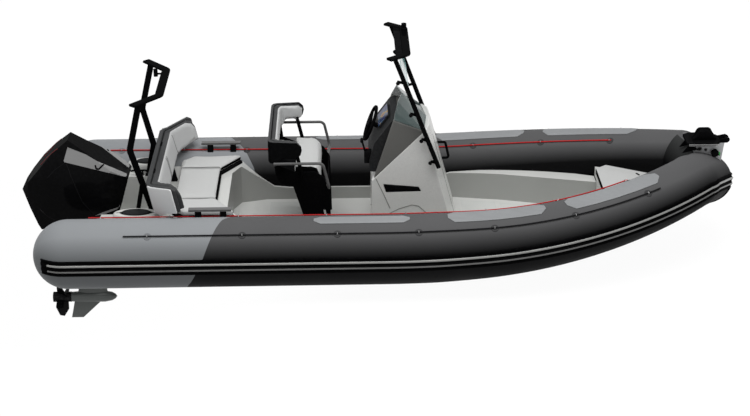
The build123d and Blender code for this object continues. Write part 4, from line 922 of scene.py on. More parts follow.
# ------------------------------------------------------------------ collar
@dataclass
class Collar:
    """Inflated tubes with their colour joint, rail, strips, pads and lines."""

    radius: float = 0.314
    nose_radius: float = 0.250
    spacing: float = 0.960
    height: float = 0.410
    stern: float = -0.238
    taper_x: float = 3.070
    sheer_x: float = 2.600
    sheer_r: float = 12.400
    bow_x: float = 3.440
    bow_r: float = 3.577
    bow_turn: float = 35.2
    nose_x: float = 5.664
    nose_z: float = 0.660
    sides: int = 96
    dome_rings: int = 14
    dome_start: float = 1.5
    # From even_x on, the rings stand square to the tube
    even_x: float = 1.9
    even_rings: int = 46
    elbow_rings: int = 9
    elbow_room: float = 1.08
    # Colour joint. Columns: angle round the tube, x
    joint: Outline = ((-90, 0.80), (-45, 0.842), (16, 0.997), (90, 1.155), (121, 1.27), (156, 1.36),
                      (200, 1.40), (235, 1.20), (270, 0.80))
    # Rail's section. Columns: height along the skin, lift
    rail: Outline = (
        (-0.073, -0.006), (-0.073, 0.004), (-0.069, 0.010), (-0.059, 0.010), (-0.055, 0.004),
        (-0.047, 0.004), (-0.043, 0.008), (-0.011, 0.008), (-0.007, 0.003), (0.007, 0.003), (0.011, 0.008),
        (0.043, 0.008), (0.047, 0.004), (0.055, 0.004), (0.059, 0.011), (0.069, 0.011), (0.073, 0.004),
        (0.073, -0.006))
    rail_turn: float = 41.0
    strip_turn: float = 27.0
    rail_stations: int = 72
    # Lines: x of the eyes that hold them, then where they start and end
    inner_eyes: tuple[float, ...] = (0.05, 0.67, 1.29, 2.09, 2.81, 3.56, 4.265, 4.95)
    outer_eyes: tuple[float, ...] = (0.503, 1.342, 2.186, 2.915, 3.595, 4.305, 4.968)
    inner_run: tuple[float, float] = (-0.06, 4.965)
    outer_run: tuple[float, float] = (0.29, 5.084)
    outer_angle: float = 53.0
    line_radius: float = 0.0062
    line_lift: float = 0.010
    line_stations: int = 70
    # Glued patch and eye: radius at the foot, radius at the top, thickness
    patch_size: Point = (0.036, 0.033, 0.004)
    eye_size: Point = (0.011, 0.008, 0.008)
    # Bow over the line: half height, half width, wire's radius
    eye_bow: Point = (0.012, 0.011, 0.0028)

    def radius_at(self, x: float) -> float:
        """Tube's radius at x."""
        share = (x - self.taper_x) / (self.nose_x - self.taper_x)
        return self.radius - (self.radius - self.nose_radius) * min(max(share, 0.0), 1.0)

    def axis(self, x: float) -> tuple[Vector, float, float]:
        """Port tube's axis at x.

        Args:
            x: the place along the boat.

        Returns:
            Its point, heading and pitch, in radians.
        """
        pitch = math.asin((x - self.sheer_x) / self.sheer_r) if x > self.sheer_x else 0.0
        turn = math.asin((x - self.bow_x) / self.bow_r) if x > self.bow_x else 0.0
        y, rise = self.spacing - self.bow_r * (1 - math.cos(turn)), self.sheer_r * (1 - math.cos(pitch))
        return Vector((x, y, self.height + rise)), turn, pitch

    @staticmethod
    def across(point: Vector, heading: float, pitch: float, radius: float, angle: float) -> Vector:
        """Point on a ring across the tube.

        Args:
            point: the ring's middle.
            heading: the tube's heading.
            pitch: the tube's pitch.
            radius: the ring's radius.
            angle: degrees round it; 0 is outboard and 90 the top.

        Returns:
            The point.
        """
        out = Vector((math.sin(heading), math.cos(heading), 0))
        up = out.cross(Vector((math.cos(heading) * math.cos(pitch), -math.sin(heading) * math.cos(pitch),
                               math.sin(pitch))))
        up, a = up if up.z > 0 else -up, math.radians(angle)
        return point + out * (radius * math.cos(a)) + up * (radius * math.sin(a))

    def spot(self, x: float, angle: float, lift: float = 0.0) -> Vector:
        """Point on the port tube."""
        return self.across(*self.axis(x), self.radius_at(x) + lift, angle)

    def joint_x(self, angle: float) -> float:
        """Where the colour joint lies.

        Args:
            angle: degrees round the tube.

        Returns:
            Its x.
        """
        for (a0, x0), (a1, x1) in zip(self.joint, self.joint[1:]):
            if a0 <= angle <= a1:
                return x0 + (x1 - x0) * (angle - a0) / (a1 - a0)
        return self.joint[-1][1]

    def elbow(self) -> tuple[Vector, float, float, float]:
        """The elbow, where the tube turns in to the nose.

        Returns:
            Its point, its headings before and after, and its pitch.
        """
        x = self.bow_x + self.bow_r * math.sin(math.radians(self.bow_turn))
        point, heading, pitch = self.axis(x)
        return point, heading, math.atan2(point.y, self.nose_x - x), pitch

    def nose(self) -> tuple[Vector, Vector]:
        """The nose's middle and the way to it from the elbow."""
        end = Vector((self.nose_x, 0, self.nose_z))
        return end, end - self.elbow()[0]

    def nose_spot(self, point: Vector, size: float, angle: float, cut_off: bool = True) -> Vector:
        """Point on one of the nose's rings.

        Args:
            point: the ring's middle.
            size: its radius.
            angle: degrees round it.
            cut_off: slides the point to the centre plane.

        Returns:
            The point.
        """
        way, up = self.nose()[1], Vector((0, 0, 1))
        ahead, way = Vector((way.x, way.y, 0)).normalized(), way.normalized()
        up = (up - way * up.dot(way)).normalized()
        a = math.radians(angle)
        spot = point + Vector((-ahead.y, ahead.x, 0)) * (size * math.cos(a)) + up * (size * math.sin(a))
        return spot - way * (spot.y / way.y) if cut_off else spot

    def add_ring(self, shape: Shape, run: float, place: Callable[[float], Vector]) -> list[Edge]:
        """Adds one ring of the tube.

        Args:
            shape: the mesh in hand.
            run: the length along the tube, kept for the wrap.
            place: gives the point at an angle.

        Returns:
            The ring's edges.
        """
        turn, length = (shape.verts.layers.float[key] for key in ("turn", "length"))
        made = bmesh.ops.create_circle(shape, cap_ends=False, segments=self.sides, radius=1.0)["verts"]
        for vert in made:
            angle = math.degrees(math.atan2(vert.co.y, vert.co.x))
            angle = angle + 360 if angle < -90 else angle
            vert[turn], vert[length] = angle / 360, run
            vert.co = place(angle)
        return edges_of(made)

    @staticmethod
    def started() -> Shape:
        """An empty mesh that keeps angles and lengths.

        Returns:
            The mesh.
        """
        shape = bmesh.new()
        for key in ("turn", "length"):
            shape.verts.layers.float.new(key)
        return shape

    @staticmethod
    def closed(shape: Shape, side: int) -> None:
        """Writes the wrap, turns the part to its side and points its faces out.

        Args:
            shape: the mesh in hand.
            side: 1 for port and -1 for starboard.
        """
        turn, length = (shape.verts.layers.float[key] for key in ("turn", "length"))
        wrap = shape.loops.layers.uv.new("wrap")
        for face in shape.faces:
            high = max(loop.vert[turn] for loop in face.loops)
            for loop in face.loops:
                value = loop.vert[turn]
                loop[wrap].uv = (value + 1 if high - value > 0.5 else value, loop.vert[length])
        bmesh.ops.scale(shape, verts=shape.verts, vec=(1, side, 1))
        outward(shape)

    def aft_part(self, name: str, node: str, side: int) -> None:
        """Light stern of one tube, up to the colour joint.

        Args:
            name: the piece's name.
            node: the CAD node that it stands for.
            side: 1 for port and -1 for starboard.
        """
        shape, rings = self.started(), []
        for n in range(self.dome_rings):
            bend = math.radians(self.dome_start + (90 - self.dome_start) * n / self.dome_rings)
            x, r = self.stern - self.radius * math.cos(bend), self.radius * math.sin(bend)
            rings.append(self.add_ring(shape, x, lambda a, x=x, r=r: self.across(
                Vector((x, self.spacing, self.height)), 0, 0, r, a)))
        for share in (0.0, 0.15, 0.35, 0.6, 0.8, 0.93, 1.0):
            rings.append(self.add_ring(shape, self.stern + share, lambda a, s=share: self.spot(
                self.stern + (self.joint_x(a) - self.stern) * s, a)))
        skin(shape, rings, caps=(0,))
        self.closed(shape, side)
        finished(shape, name, LIGHT_CLOTH, replaces=(node,), crease=60)

    def forward_half(self, side: int) -> Shape:
        """Dark tube from the colour joint round the elbow to the centre plane.

        Args:
            side: 1 for port and -1 for starboard.

        Returns:
            The half's mesh.
        """
        shape, rings, start = self.started(), [], self.even_x
        elbow, before, after, pitch = self.elbow()
        for share in (0.0, 0.08, 0.3, 0.6, 1.0):
            rings.append(self.add_ring(shape, start * share, lambda a, s=share: self.spot(
                self.joint_x(a) + (start - self.joint_x(a)) * s, a)))
        r, middle, half = self.radius_at(elbow.x), (before + after) / 2, (after - before) / 2
        reach = r * math.tan(half) * self.elbow_room
        last = elbow.x - reach * math.cos(before)
        for n in range(1, self.even_rings + 1):
            x = start + (last - start) * n / self.even_rings
            rings.append(self.add_ring(shape, x, lambda a, x=x: self.spot(x, a)))

        def turned(angle: float, share: float) -> Vector:
            """Point round the elbow: outboard it turns with the ring, inboard it stays on the mitre.

            Args:
                angle: degrees round the tube.
                share: how far the elbow has turned.

            Returns:
                The point.
            """
            a = math.radians(angle)
            if math.cos(a) >= 0:
                return self.across(elbow, before + (after - before) * share, pitch * (1 - share), r, angle)
            out = Vector((math.sin(middle), math.cos(middle), 0))
            return elbow + out * (r * math.cos(a) / math.cos(half)) + Vector((0, 0, r * math.sin(a)))

        for n in range(self.elbow_rings + 1):
            run, share = elbow.x + 0.02 * n, n / self.elbow_rings
            rings.append(self.add_ring(shape, run, lambda a, s=share: turned(a, s)))
        way = self.nose()[1]
        for share in (reach / way.length, 0.6, 0.85, 1.0):
            rings.append(self.add_ring(shape, elbow.x + 0.3 + share * 0.4, lambda a, s=share: self.nose_spot(
                elbow + way * s, r + (self.nose_radius - r) * s, a, s == 1.0)))
        skin(shape, rings, caps=())
        self.closed(shape, side)
        return shape

    def forward(self) -> None:
        """Both dark tubes, joined at the centre plane, with painted shade on the nose's inboard side."""
        shape = self.forward_half(1)
        other = meshed(self.forward_half(-1), "other_half")
        shape.from_mesh(other)
        bpy.data.meshes.remove(other)
        bmesh.ops.remove_doubles(shape, verts=shape.verts, dist=4e-4)
        tubes = finished(shape, "tubes_forward", DARK_CLOTH, replaces=("collar_forward",), crease=13)
        # Painted shade on the nose's inboard side
        two_toned(tubes, NOSE_SHADE_CLOTH, self.behind_mitre)

    def behind_mitre(self, point: Vector, normal: Vector) -> bool:
        """The nose's inboard side, past the mitre, where its own shade is painted into the cloth's colour.

        Args:
            point: a face's centre.
            normal: its normal.

        Returns:
            True where the face is shaded.
        """
        elbow, before, after, _ = self.elbow()
        middle = (before + after) / 2
        past = (point.x - elbow.x) * math.cos(middle) - (abs(point.y) - elbow.y) * math.sin(middle)
        return past > 0.0 and normal.x < -0.12 and point.x > elbow.x - 0.35

    def frames(self, dome_turn: float) -> list[tuple[Vector, float, float, float]]:
        """Stations for what runs along the tube, from the stern dome to the elbow.

        Args:
            dome_turn: how far round the dome it starts, in degrees.

        Returns:
            Point, heading, pitch and tube radius for each station.
        """
        centre, turns, bends = Vector((self.stern, self.spacing, self.height)), int(dome_turn // 6) + 1, 6
        made = [(centre, -math.radians(dome_turn * (1 - n / turns)), 0.0, self.radius) for n in range(turns)]
        elbow, before, after, pitch = self.elbow()
        size = self.radius_at(elbow.x)
        for n in range(self.rail_stations):
            x = self.stern + (elbow.x - self.stern) * n / self.rail_stations
            made.append((*self.axis(x), self.radius_at(x)))
        for share in (n / bends for n in range(bends + 1)):
            made.append((elbow, before + (after - before) * share, pitch * (1 - share), size))
        return made

    def swept(self, name: str, finish: Finish, profile: Sequence[tuple[float, float]], dome_turn: float,
              replaces: Sequence[str] = ()) -> None:
        """Sweeps a closed profile along both tubes and round the nose.

        Args:
            name: the piece's name.
            finish: its surface.
            profile: height above the tube's middle along its skin, and lift off it, for each corner.
            dome_turn: how far round the stern dome it starts, in degrees.
            replaces: CAD nodes that it stands for.
        """
        shape = bmesh.new()
        corners = [shape.verts.new((0, 0, 0)) for _ in profile]
        edges = [shape.edges.new((a, b)) for a, b in zip(corners, corners[1:] + corners[:1])]
        stations = self.frames(dome_turn)
        for index in range(len(stations) + 1):
            if index:
                made = bmesh.ops.extrude_edge_only(shape, edges=edges)["geom"]
                fresh = verts_in(made)
                ends = {e.other_vert(v): v for v in fresh for e in v.link_edges}
                corners = [ends[c] for c in corners]
                edges = [g for g in made if isinstance(g, Edge) and all(v in fresh for v in g.verts)]
            else:
                bmesh.ops.contextual_create(shape, geom=edges)
            for vert, (rise, lift) in zip(corners, profile):
                if index < len(stations):
                    point, heading, tip, size = stations[index]
                    vert.co = self.across(point, heading, tip, size + lift, math.degrees(rise / size))
                else:
                    vert.co = self.nose_spot(self.nose()[0], self.nose_radius + lift,
                                             math.degrees(rise / self.nose_radius))
        mirrored(shape)
        bmesh.ops.remove_doubles(shape, verts=shape.verts, dist=2e-4)
        outward(shape)
        finished(shape, name, finish, replaces=replaces, crease=35)

    @staticmethod
    def strip(middle: float, half: float) -> list[tuple[float, float]]:
        """Half-round profile of a bright strip."""
        return [(middle + half * math.cos(a), 0.006 + half * 0.9 * math.sin(a))
                for a in (math.radians(d) for d in (-10, 25, 60, 90, 120, 155, 190))]

    @staticmethod
    def inner_angle(x: float) -> float:
        """Angle of the inner line round the tube."""
        return 119.0 + 7.0 * min(max((x + 0.025) / 4.975, 0.0), 1.0)

    def lines(self) -> None:
        """Taut lines along the tubes, with their eyes and glued patches."""
        runs = (("line_inner", RED_LINE, self.inner_run, self.inner_angle, "grab_lines_inner"),
                ("line_outer", BLACK_LINE, self.outer_run, lambda x: self.outer_angle, "grab_lines_outer"))
        for name, finish, (start, end), angle, node in runs:
            shape = bmesh.new()
            xs = [start + (end - start) * n / self.line_stations for n in range(self.line_stations + 1)]
            tube_along(shape, [self.spot(x, angle(x), self.line_lift) for x in xs], self.line_radius)
            mirrored(shape)
            finished(shape, name, finish, replaces=(node,))
        patches, eyes = bmesh.new(), bmesh.new()
        stations = [(x, self.inner_angle(x)) for x in self.inner_eyes]
        for x, angle in stations + [(x, self.outer_angle) for x in self.outer_eyes]:
            foot = self.spot(x, angle)
            up = (foot - self.axis(x)[0]).normalized()
            along = (self.spot(x + 0.02, angle) - self.spot(x - 0.02, angle)).normalized()
            cone(patches, facing(foot + up * 0.0008, up, along), *self.patch_size, 28)
            cone(eyes, facing(foot + up * 0.005, up, along), *self.eye_size, 14)
            side, (tall, wide, wire) = up.cross(along), self.eye_bow
            bow = [foot + up * (self.line_lift + tall * math.sin(a)) + side * (wide * math.cos(a))
                   for a in (math.radians(d) for d in range(0, 181, 20))]
            tube_along(eyes, bow, wire, 6)
        for shape in (patches, eyes):
            mirrored(shape)
            outward(shape)
        finished(patches, "line_patches", PATCH, replaces=("line_eyelets",))
        finished(eyes, "line_eyes", STEEL)

    def build(self) -> None:
        """Makes every piece of the collar."""
        self.aft_part("tube_aft_port_cloth", "collar_aft_port", 1)
        self.aft_part("tube_aft_starboard_cloth", "collar_aft_starboard", -1)
        self.forward()
        self.swept("rail_rubber", RAIL_BLACK, self.rail, self.rail_turn, ("rub_rail",))
        self.swept("rail_strip_upper", BRIGHT, self.strip(0.027, 0.0105), self.strip_turn, ("rail_strips",))
        # The lower strip carries painted shade
        self.swept("rail_strip_lower", LOWER_STRIP_SHADE, self.strip(-0.027, 0.0085), self.strip_turn)
        settled(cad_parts["collar_pads"], PAD_GREY)
        self.lines()


# ------------------------------------------------------------------ cushions
@dataclass
class Cushion:
    """A padded piece, blown up from its CAD solid by a cloth simulation."""

    node: str
    finish: Finish
    name: str
    trim: Finish
    trimmed: Test
    voxel: float = 0.009
    swell: float = 0.010
    inset: float = 0.004
    floor: float = -1e9
    pressure: float = 4.0
    stiffness: float = 18.0
    steps: int = 20
    fill: float = 0.7

    def islands(self) -> list[Shape]:
        """The solids of the node.

        Returns:
            A mesh for each.
        """
        shape = copied(self.node, 0.0)
        shape.verts.index_update()
        known, groups = set(), []
        for seed in (vert for vert in reversed(shape.verts[:]) if vert not in known):
            found, edge = {seed}, [seed]
            while edge:
                for link in (vert := edge.pop()).link_edges:
                    other = link.other_vert(vert)
                    if other not in found:
                        found.add(other)
                        edge.append(other)
            known |= found
            groups.append({vert.index for vert in found})
        parts = [shape.copy() for _ in groups]
        for part, group in zip(parts, groups):
            bmesh.ops.delete(part, geom=[v for v in part.verts if v.index not in group], context="VERTS")
        shape.free()
        return parts

    def pressed(self, body: Piece) -> None:
        """Blows the cushion up with the cloth simulation.

        Args:
            body: the cushion.
        """
        cloth = body.modifiers.new("cloth", "CLOTH")
        settings = cloth.settings
        settings.use_pressure, settings.uniform_pressure_force = True, self.pressure
        settings.effector_weights.gravity, settings.quality = 0.0, 4
        settings.tension_stiffness = settings.compression_stiffness = self.stiffness
        cloth.point_cache.frame_start, cloth.point_cache.frame_end = 1, self.steps
        for step in range(1, self.steps + 1):
            bpy.context.scene.frame_set(step)
        self.applied(body)
        bpy.context.scene.frame_set(1)

    def blown(self, part: Shape, name: str) -> Piece:
        """Makes one cushion.

        Args:
            part: the solid's mesh, freed here.
            name: the piece's name.

        Returns:
            The cushion, with its soft shape applied.
        """
        outward(part)
        body = placed(name, meshed(part, name))
        shrink = body.modifiers.new("inset", "DISPLACE")
        shrink.strength, shrink.mid_level = -self.inset, 0.0
        remesh = body.modifiers.new("voxels", "REMESH")
        remesh.mode, remesh.voxel_size = "VOXEL", self.voxel
        smooth = body.modifiers.new("ease", "SMOOTH")
        smooth.factor, smooth.iterations = 0.5, 3
        self.applied(body)
        start = [v.co.copy() for v in body.data.vertices]
        self.pressed(body)
        for vert, home in zip(body.data.vertices, start):
            move = vert.co - home
            if move.length > self.swell:
                move = move * (self.swell / move.length)
            vert.co = home + move
            vert.co.z = max(vert.co.z, self.floor)
        finer = body.modifiers.new("finer", "SUBSURF")
        finer.levels = finer.render_levels = 1
        self.applied(body)
        body.data.shade_smooth()
        settled(body, self.finish)
        two_toned(body, self.trim, self.trimmed, surface_of(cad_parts[self.node]))
        return body

    @staticmethod
    def applied(body: Piece) -> None:
        """Puts what the modifiers make into the mesh and drops them.

        Args:
            body: the piece.
        """
        bpy.context.view_layer.update()
        graph = bpy.context.evaluated_depsgraph_get()
        made = bpy.data.meshes.new_from_object(body.evaluated_get(graph))
        body.modifiers.clear()
        old, body.data = body.data, made
        bpy.data.meshes.remove(old)

    def build(self) -> list[Piece]:
        """Makes the cushions of the node.

        Returns:
            The cushions.
        """
        made = [self.blown(part, f"{self.name}_{n}") for n, part in enumerate(self.islands(), 1)]
        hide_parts(self.node)
        return made


# ------------------------------------------------------------------ sub-assemblies
@dataclass
class Hull:
    """Hull, cockpit liner and deck fittings."""

    # Forward of under_from, what is below under_top and looks out is painted like the hull
    under_from: float = 2.6
    under_top: float = 0.40
    locker_cuts: tuple[float, ...] = (0.28, 0.34, 0.40)
    # The liner's walls, which carry painted shade: how level their normals are, and where they start
    wall_z: float = 0.45
    wall_from: float = 0.66
    floor_z: float = 0.2155
    # Grip panels. Columns: x from, x to, half width from, half width to
    panels: tuple[tuple[float, ...], ...] = ((1.52, 1.93, 0.56, 0.56), (3.40, 3.74, 0.54, 0.49),
                                             (3.78, 4.60, 0.47, 0.27))
    # Oval pods and their lids. Columns: share of the size, height
    pod_at: tuple[float, float] = (0.345, 0.61)
    pod_half: tuple[float, float] = (0.215, 0.105)
    pod: Outline = ((1.0, 0.560), (1.0, 0.622), (0.975, 0.642), (0.92, 0.652), (0.66, 0.652), (0.64, 0.646))
    lid: Outline = ((0.60, 0.646), (0.60, 0.658), (0.57, 0.664), (0.50, 0.666))
    cleat: tuple[float, float] = (0.255, 0.475)
    # Cleat's horn. Columns: x from its middle, height
    horn: Outline = ((-0.085, 0.605), (-0.05, 0.612), (0.05, 0.612), (0.085, 0.605))

    def build(self) -> None:
        """Makes the hull's pieces."""
        rounded("hull_shell", DARK_HULL, 0.012, sharp=20)
        liner = rounded("cockpit_liner", LINER, 0.016, steps=3)
        # Painted shade on the liner's walls
        two_toned(liner, LINER_WALL_SHADE, lambda p, n: abs(n.z) < self.wall_z and p.x > self.wall_from)
        two_toned(liner, DARK_HULL, self.under)
        locker = rounded("bow_locker", LINER, 0.006)
        shape = bmesh.new()
        shape.from_mesh(locker.data)
        for height in self.locker_cuts:
            cut(shape, (0, 0, height), (0, 0, 1))
        shape.to_mesh(locker.data)
        shape.free()
        two_toned(locker, DARK_HULL, self.under)
        self.floor_panels()
        self.quarter_mouldings()
        self.cleats()

    def under(self, point: Vector, normal: Vector) -> bool:
        """Says whether a face lies on the boat's underside.

        Args:
            point: the face's centre.
            normal: the face's normal.

        Returns:
            True where the face is painted like the hull.
        """
        outboard = (normal.y if point.y > 0 else -normal.y) > 0.3 or normal.x > 0.5
        return point.x > self.under_from and (normal.z < -0.5 or (point.z < self.under_top and outboard))

    def floor_panels(self) -> None:
        """Grip panels on the cockpit floor."""
        shape = bmesh.new()
        for x0, x1, half0, half1 in self.panels:
            corners = [(x0, half0), (x1, half1), (x1, -half1), (x0, -half0)]
            face = shape.faces.new([shape.verts.new((x, y, self.floor_z)) for x, y in corners])
            bmesh.ops.inset_region(shape, faces=[face], thickness=0.012, depth=0.002)
        outward(shape)
        for face in shape.faces:
            if face.normal.z < 0:
                face.normal_flip()
        finished(shape, "floor_grip", DECK_GRIP)

    def quarter_mouldings(self) -> None:
        """Raised oval pods on the quarter decks, each with a dark lid."""
        for name, finish, rows, sides, caps, nodes in (
                ("quarter_mouldings", LINER, self.pod, 40, (-1,), ()),
                ("quarter_lids", DASH, self.lid, 32, (0, -1), ("deck_hatches",))):
            shape, loops = bmesh.new(), []
            for share, z in rows:
                size = Matrix.Diagonal((self.pod_half[0] * share, self.pod_half[1] * share, 1, 1))
                loops.append(ring(shape, Matrix.Translation((*self.pod_at, z)) @ size, 1.0, sides))
            skin(shape, loops, caps)
            mirrored(shape)
            outward(shape)
            finished(shape, name, finish, replaces=nodes)

    def cleats(self) -> None:
        """Black mooring cleats ahead of the motor well."""
        shape, (x, y) = bmesh.new(), self.cleat
        for post in (-0.03, 0.03):
            cone(shape, Matrix.Translation((x + post, y, 0.583)), 0.011, 0.008, 0.05, 12)
        tube_along(shape, [Vector((x + dx, y, z)) for dx, z in self.horn], 0.010)
        mirrored(shape)
        outward(shape)
        finished(shape, "mooring_cleats", BLACK_PART)


@dataclass
class Bench:
    """Aft bench, its backrest, handles and mast."""

    wing: tuple[float, float] = (0.844, 0.536)
    wing_start: float = 0.80
    wing_out: Point = (-0.634, 0.748, -0.2)
    wing_rim: float = 0.016
    wing_depth: float = 0.014
    bar_z: float = 0.7485
    seat_floor: float = 0.6292
    piping: Sequence[Sequence[Point]] = (((0.675, 0.357, 0.70), (1.06, 0.357, 0.70)),)
    seams: Sequence[Sequence[Point]] = (((0.66, 0.60, 0.70), (0.60, 0.56, 0.955)),
                                        ((0.64, 0.02, 0.70), (0.59, 0.02, 0.95)))

    def back_trim(self, point: Vector, normal: Vector) -> bool:
        """Says whether a face of the backrest's pad is dark: all but its front is.

        Args:
            point: the face's centre.
            normal: the face's normal.

        Returns:
            True where the trim is.
        """
        ahead = normal.x * self.wing[0] + math.copysign(normal.y, normal.y * point.y) * self.wing[1]
        return (abs(point.y) > self.wing_start and ahead > 0.8) or abs(normal.z) > 0.5 or normal.x < 0.3

    def build(self) -> None:
        """Makes the bench's pieces."""
        rounded("bench_boards", BLACK_PART, 0.005)
        seats = Cushion("bench_cushions", WHITE_VINYL, "bench_cushion", SHELL_BLACK,
                        lambda p, n: n.z < 0.5 and n.x > 0.35, voxel=0.010, floor=self.seat_floor).build()
        back = Cushion("bench_back_pad", LIGHT_VINYL, "bench_back_cushion", SHELL_GREY, self.back_trim,
                       voxel=0.010).build()
        rounded("bench_back_shell", SHELL_GREY, 0.010, steps=3)
        self.wing_panels()
        rounded("bench_back_posts", BLACK_PART, 0.005)
        handles = rounded("grab_handles", BLACK_PART, 0.007)
        two_toned(handles, GREY_BAR, lambda p, n: p.z > self.bar_z)
        rounded("mast_legs", TUBE_BLACK, 0.004, sharp=50)
        rounded("mast_head", TUBE_BLACK, 0.006, sharp=50, steps=3)
        rounded("mast_lamp", BLACK_PART, 0.004)
        lined("bench_piping", SEAM, self.piping, surface_of(*seats), 0.0035)
        lined("back_seams", SEAM, self.seams, surface_of(*back))
        straps = bmesh.new()
        block(straps, (0.520, 0.33, 0.845), (0.022, 0.085, 0.22), -11.3, "Y", 0.006)
        mirrored(straps)
        finished(straps, "backrest_straps", SHELL_BLACK)

    def wing_panels(self) -> None:
        """Pale panels on the outer faces of the backrest's wings, made paler than their vinyl as painted
        light, for they face away from the lamp.
        """
        shape = copied("bench_back_shell")
        outward(shape)
        out = Vector(self.wing_out).normalized()
        outs = {side: Vector((out.x, out.y * side, out.z)) for side in SIDES}
        drop = [f for f in shape.faces
                if f.normal.dot(outs[1 if f.calc_center_median().y > 0 else -1]) <= 0.93]
        bmesh.ops.delete(shape, geom=drop, context="FACES")
        bmesh.ops.dissolve_limit(shape, angle_limit=math.radians(3), verts=shape.verts, edges=shape.edges)
        trimmed_by(shape, self.wing_rim)
        made = bmesh.ops.extrude_face_region(shape, geom=shape.faces[:])["geom"]
        for vert in verts_in(made):
            vert.co += outs[1 if vert.co.y > 0 else -1] * self.wing_depth
        outward(shape)
        softened(shape, sharp_edges(shape, 40), 0.006, 3)
        finished(shape, "back_wing_panels", WING_VINYL_LIT)


@dataclass
class Console:
    """Console, windscreen, frame, instruments and wheel."""

    pane_top: float = 1.885
    chart_rim: float = 0.030
    # Outline of the vent, x and z, how far out it stands and how many slats it has
    vent: Outline = ((2.616, 0.789), (2.942, 0.757), (2.962, 0.717), (2.638, 0.712))
    vent_y: float = 0.3535
    slats: int = 9
    # Outline of the plate under the frame's head, x and y
    plate: Outline = ((2.728, -0.43), (2.835, -0.36), (2.835, 0.36), (2.728, 0.43))
    plate_z: float = 2.052
    side_seams: Sequence[Sequence[Point]] = (
        ((2.545, 0.7, 0.85), (2.612, 0.7, 0.70), (2.676, 0.7, 0.545)),
        ((2.665, 0.7, 0.49), (2.76, 0.7, 0.54), (2.88, 0.7, 0.578), (2.94, 0.7, 0.566), (3.02, 0.7, 0.49),
         (3.09, 0.7, 0.36)))
    front_seams: Sequence[Sequence[Point]] = (((3.5, 0.20, 0.25), (3.5, 0.20, 1.22)),)
    screw_heights: tuple[float, ...] = (0.30, 0.55, 0.80, 1.05)
    screw_y: float = 0.28
    # Foot and top of a frame's leg, and shares of the way up where the pegs are
    leg: tuple[Point, Point] = ((3.124, 0.398, 0.968), (2.722, 0.448, 2.040))
    pegs: tuple[float, ...] = (0.042, 0.25, 0.49, 0.784)
    peg_reach: float = 0.062

    def build(self) -> None:
        """Makes the console's pieces."""
        rounded("console_shell", MOULDED, 0.014, steps=3)
        rounded("console_cap", DARK_MOULD, 0.008)
        rounded("dashboard", DASH, 0.010)
        rounded("display", DASH, 0.004)
        self.chart()
        rounded("steering_column", BLACK_PART, 0.003)
        settled(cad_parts["steering_wheel"], BLACK_PART, "helm_wheel")
        rounded("throttle", BLACK_PART, 0.004)
        settled(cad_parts["windscreen"], SMOKED)
        rounded("console_frame", TUBE_BLACK, 0.003, sharp=50)
        self.pane()
        rounded("nav_lamp", BLACK_PART, 0.005)
        rounded("console_handle", BLACK_PART, 0.003, sharp=50)
        self.vents()
        self.seams(surface_of(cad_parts["console_shell"]))
        plate = slab([(x, y, self.plate_z) for x, y in self.plate], (0, 0, 0.012), 0.003)
        finished(plate, "frame_head_plate", TUBE_BLACK)
        self.peg_knobs()

    def vents(self) -> None:
        """Louvred vents on both sides."""
        shape = slab([(x, self.vent_y, z) for x, z in self.vent], (0, 0.008, 0), 0.002)
        for n in range(self.slats):
            low, high = 0.724, 0.776 - 0.0030 * n
            middle = (2.66 + 0.033 * n, self.vent_y + 0.009, (low + high) / 2)
            block(shape, middle, (0.006, 0.004, high - low))
        mirrored(shape)
        finished(shape, "console_vents", SHELL_BLACK)

    def seams(self, shell: BVHTree) -> None:
        """Moulded seams and the step arch, drawn as darker lines that are painted shade in the creases, and
        the screws.

        Args:
            shell: the console's surface.
        """
        # Painted shade along the creases and the step arch
        lined("console_creases", SEAM_AND_CREASE_SHADE, self.side_seams, shell, 0.0035, toward=(0, -1, 0))
        lined("console_front_seams", SEAM_AND_CREASE_SHADE, self.front_seams, shell, 0.0025, toward=(-1, 0, 0))
        heads = bmesh.new()
        for z in self.screw_heights:
            for side in SIDES:
                hit = shell.ray_cast(Vector((2.2, side * self.screw_y, z)), Vector((1, 0, 0)), 2.0)[0]
                if hit is not None:
                    ball(heads, hit, 0.007, 12, 6, 0.4)
        finished(heads, "console_screws", STEEL)

    def chart(self) -> None:
        """Lit chart inside the display's frame."""
        shape = copied("display")
        best = max(shape.faces, key=lambda f: f.calc_area() * (f.normal.z > 0 and f.normal.x < 0))
        bmesh.ops.delete(shape, geom=[f for f in shape.faces if f is not best], context="FACES")
        trimmed_by(shape, self.chart_rim)
        for vert in shape.verts:
            vert.co += Vector((-0.8, 0, 0.59)) * 0.0012
        finished(shape, "chart_glass", SCREEN)

    def pane(self) -> None:
        """Clear upper sheet, cut level under the frame's head."""
        shape = copied("upper_pane")
        cut(shape, (0, 0, self.pane_top), (0, 0, 1), clear=True)
        bmesh.ops.holes_fill(shape, edges=[e for e in shape.edges if e.is_boundary], sides=0)
        finished(shape, "upper_sheet", CLEAR, replaces=("upper_pane",), crease=30)

    def peg_knobs(self) -> None:
        """Round ends on the pegs that hold the screens."""
        shape, (foot, top) = bmesh.new(), (Vector(end) for end in self.leg)
        for share in self.pegs:
            ball(shape, foot.lerp(top, share) - Vector((self.peg_reach, 0, 0)), 0.018, 16, 10)
        mirrored(shape)
        outward(shape)
        finished(shape, "peg_knobs", TUBE_BLACK)


